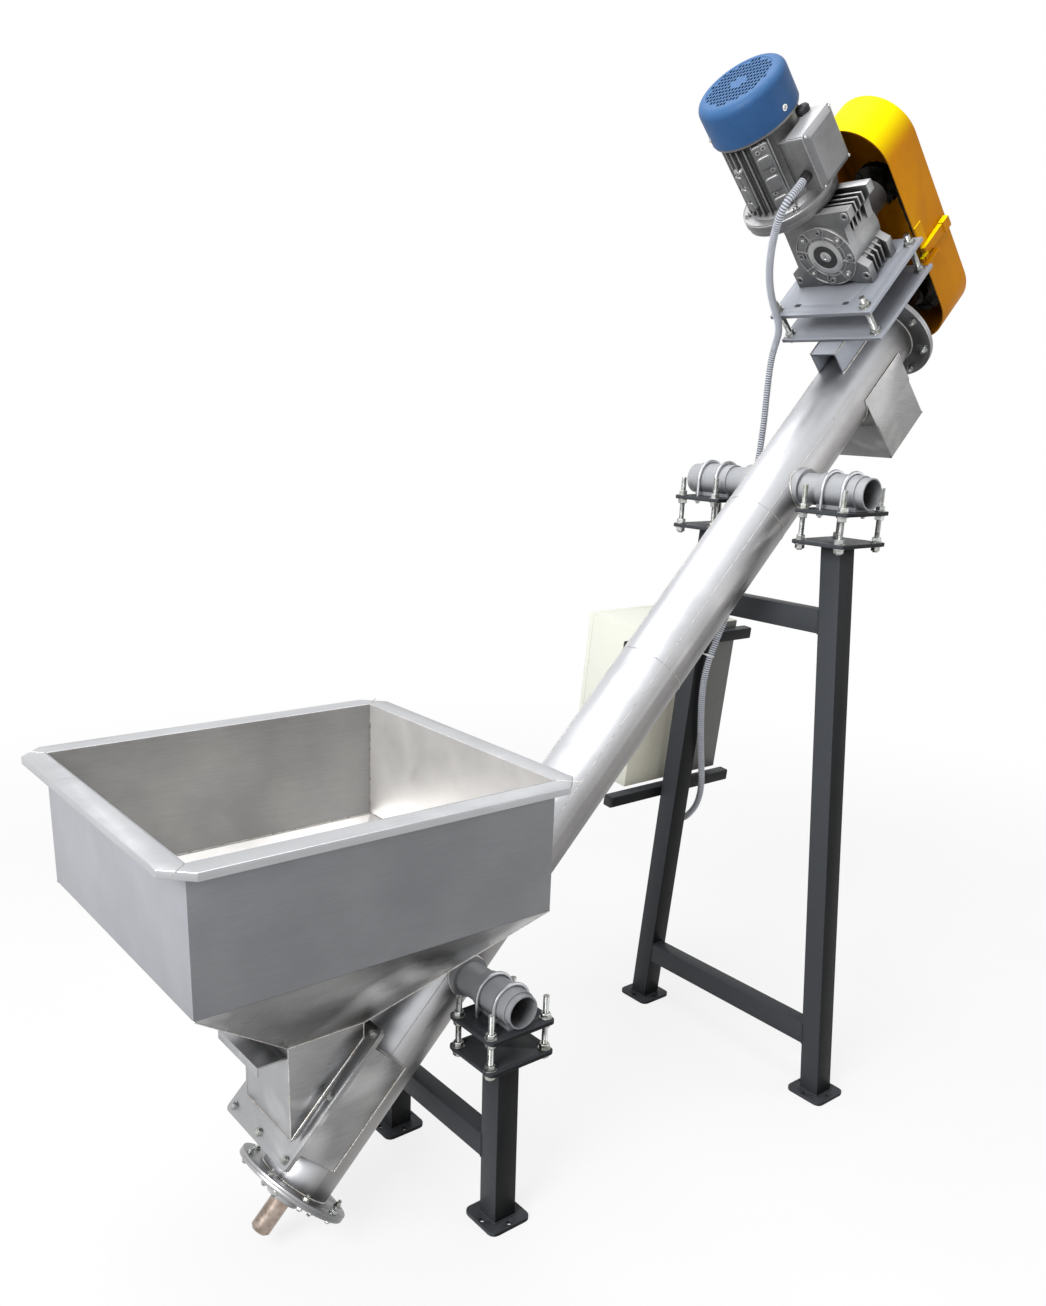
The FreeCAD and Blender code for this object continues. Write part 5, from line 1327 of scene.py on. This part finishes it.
shapes = {"hex": hexShape(), "disc": discShape(), "dome": domeShape()}
standFasteners()
carriageFasteners()
endFasteners()
inletFasteners()
print("fasteners placed")
makeGearboxFace()
makeMotorPads()
makeFanCover()
makeTerminalLid()
print("drive dressed")
makeChain()
makeGuardTrim()
makeTie()
makeChannelCaps()
keepPiece(ribbed("threadedRods", rods, "zinc", fastener["threadDepth"], fastener["thread"], 2, 10, 30.0),
          "zinc", "head_studs", "plate_studs")
keepPiece(repeated("hexNuts", shapes["hex"], nuts, "zinc"), "zinc")
keepPiece(repeated("flatWashers", shapes["disc"], washers, "zinc"), "zinc")
for shape in shapes.values():
    bpy.data.objects.remove(shape)
keepPiece(ribbed("weldBeads", hopperWelds() + tubeWelds(), "weld", **weld["ripple"]), "stainless")
keepPiece(ribbed("standWeldBeads", standWelds(), "stand", **weld["ripple"]), "stand_paint")
print("chain, guard trim, rods and welds")


# Floor, light and background
stage = {"nearFloor": 2.2, "farFloor": 6.0, "floorLift": 0.80, "skyLight": 0.40,
         "lamps": [("keyLight", (-5.2, -1.6, 4.4), (0.0, 0, 1.4), 3.0, 330),
                   ("fillLight", (3.6, -3.6, 3.0), (0.2, 0, 1.4), 2.6, 40),
                   ("topLight", (-0.4, 0.8, 6.0), (0.2, 0, 1.2), 3.4, 130)]}


def makeStage():
    floor = meshObject("floor", [(-60, -60, 0), (60, -60, 0), (60, 60, 0), (-60, 60, 0)], [(0, 1, 2, 3)], None)
    material, tree, shader, coords = newMaterial("paleFloor")
    tone = rampOf(tree, noiseOf(tree, coords, 1.4, 3.0), [(0.35, grey(0.86)), (0.65, grey(0.90))])
    dress(tree, shader, Base_Color=tone, Roughness=0.9, Specular_IOR_Level=0.1)
    away = addNode(tree, "ShaderNodeVectorMath", {"operation": "LENGTH"}, i0=coords).outputs["Value"]
    far = rangeOf(tree, away, stage["nearFloor"], stage["farFloor"], soft=True)
    lift = math2(tree, "ADD", math2(tree, "MULTIPLY", far, 1.0 - stage["floorLift"]), stage["floorLift"])
    white = addNode(tree, "ShaderNodeEmission", None, Color=(1, 1, 1, 1), Strength=1.0)
    mixed = addNode(tree, "ShaderNodeMixShader", None, i0=math2(tree, "MULTIPLY", lift, seenRay(tree)),
                    i1=shader.outputs[0], i2=white.outputs[0])
    tree.links.new(mixed.outputs[0], tree.nodes["Material Output"].inputs["Surface"])
    floor.data.materials.clear()
    floor.data.materials.append(material)


def seenRay(tree):
    # 1 for what the camera sees, straight or in a reflection
    path = addNode(tree, "ShaderNodeLightPath")
    return math2(tree, "MAXIMUM", path.outputs["Is Camera Ray"],
                 math2(tree, "MAXIMUM", path.outputs["Is Glossy Ray"], path.outputs["Is Transmission Ray"]))


def areaLight(name, place, target, size, power):
    data = bpy.data.lights.new(name, "AREA")
    data.shape = "RECTANGLE"
    data.size = data.size_y = size
    data.energy = power
    obj = newObject(name, data)
    obj.location = place
    obj.rotation_mode = "QUATERNION"
    obj.rotation_quaternion = (Vector(target) - Vector(place)).to_track_quat("-Z", "Y")


def makeWorld():
    world = bpy.data.worlds.new("softWorld")
    bpy.context.scene.world = world
    world.use_nodes = True
    tree = world.node_tree
    tree.nodes.clear()
    strength = rangeOf(tree, seenRay(tree), 0.0, 1.0, stage["skyLight"], 1.0)
    back = addNode(tree, "ShaderNodeBackground", None, Color=(1, 1, 1, 1), Strength=strength)
    out = addNode(tree, "ShaderNodeOutputWorld")
    tree.links.new(back.outputs[0], out.inputs[0])


makeStage()
makeWorld()
for lamp in stage["lamps"]:
    areaLight(*lamp)
bpy.context.scene.view_settings.view_transform = "Standard"
print("stage and light")
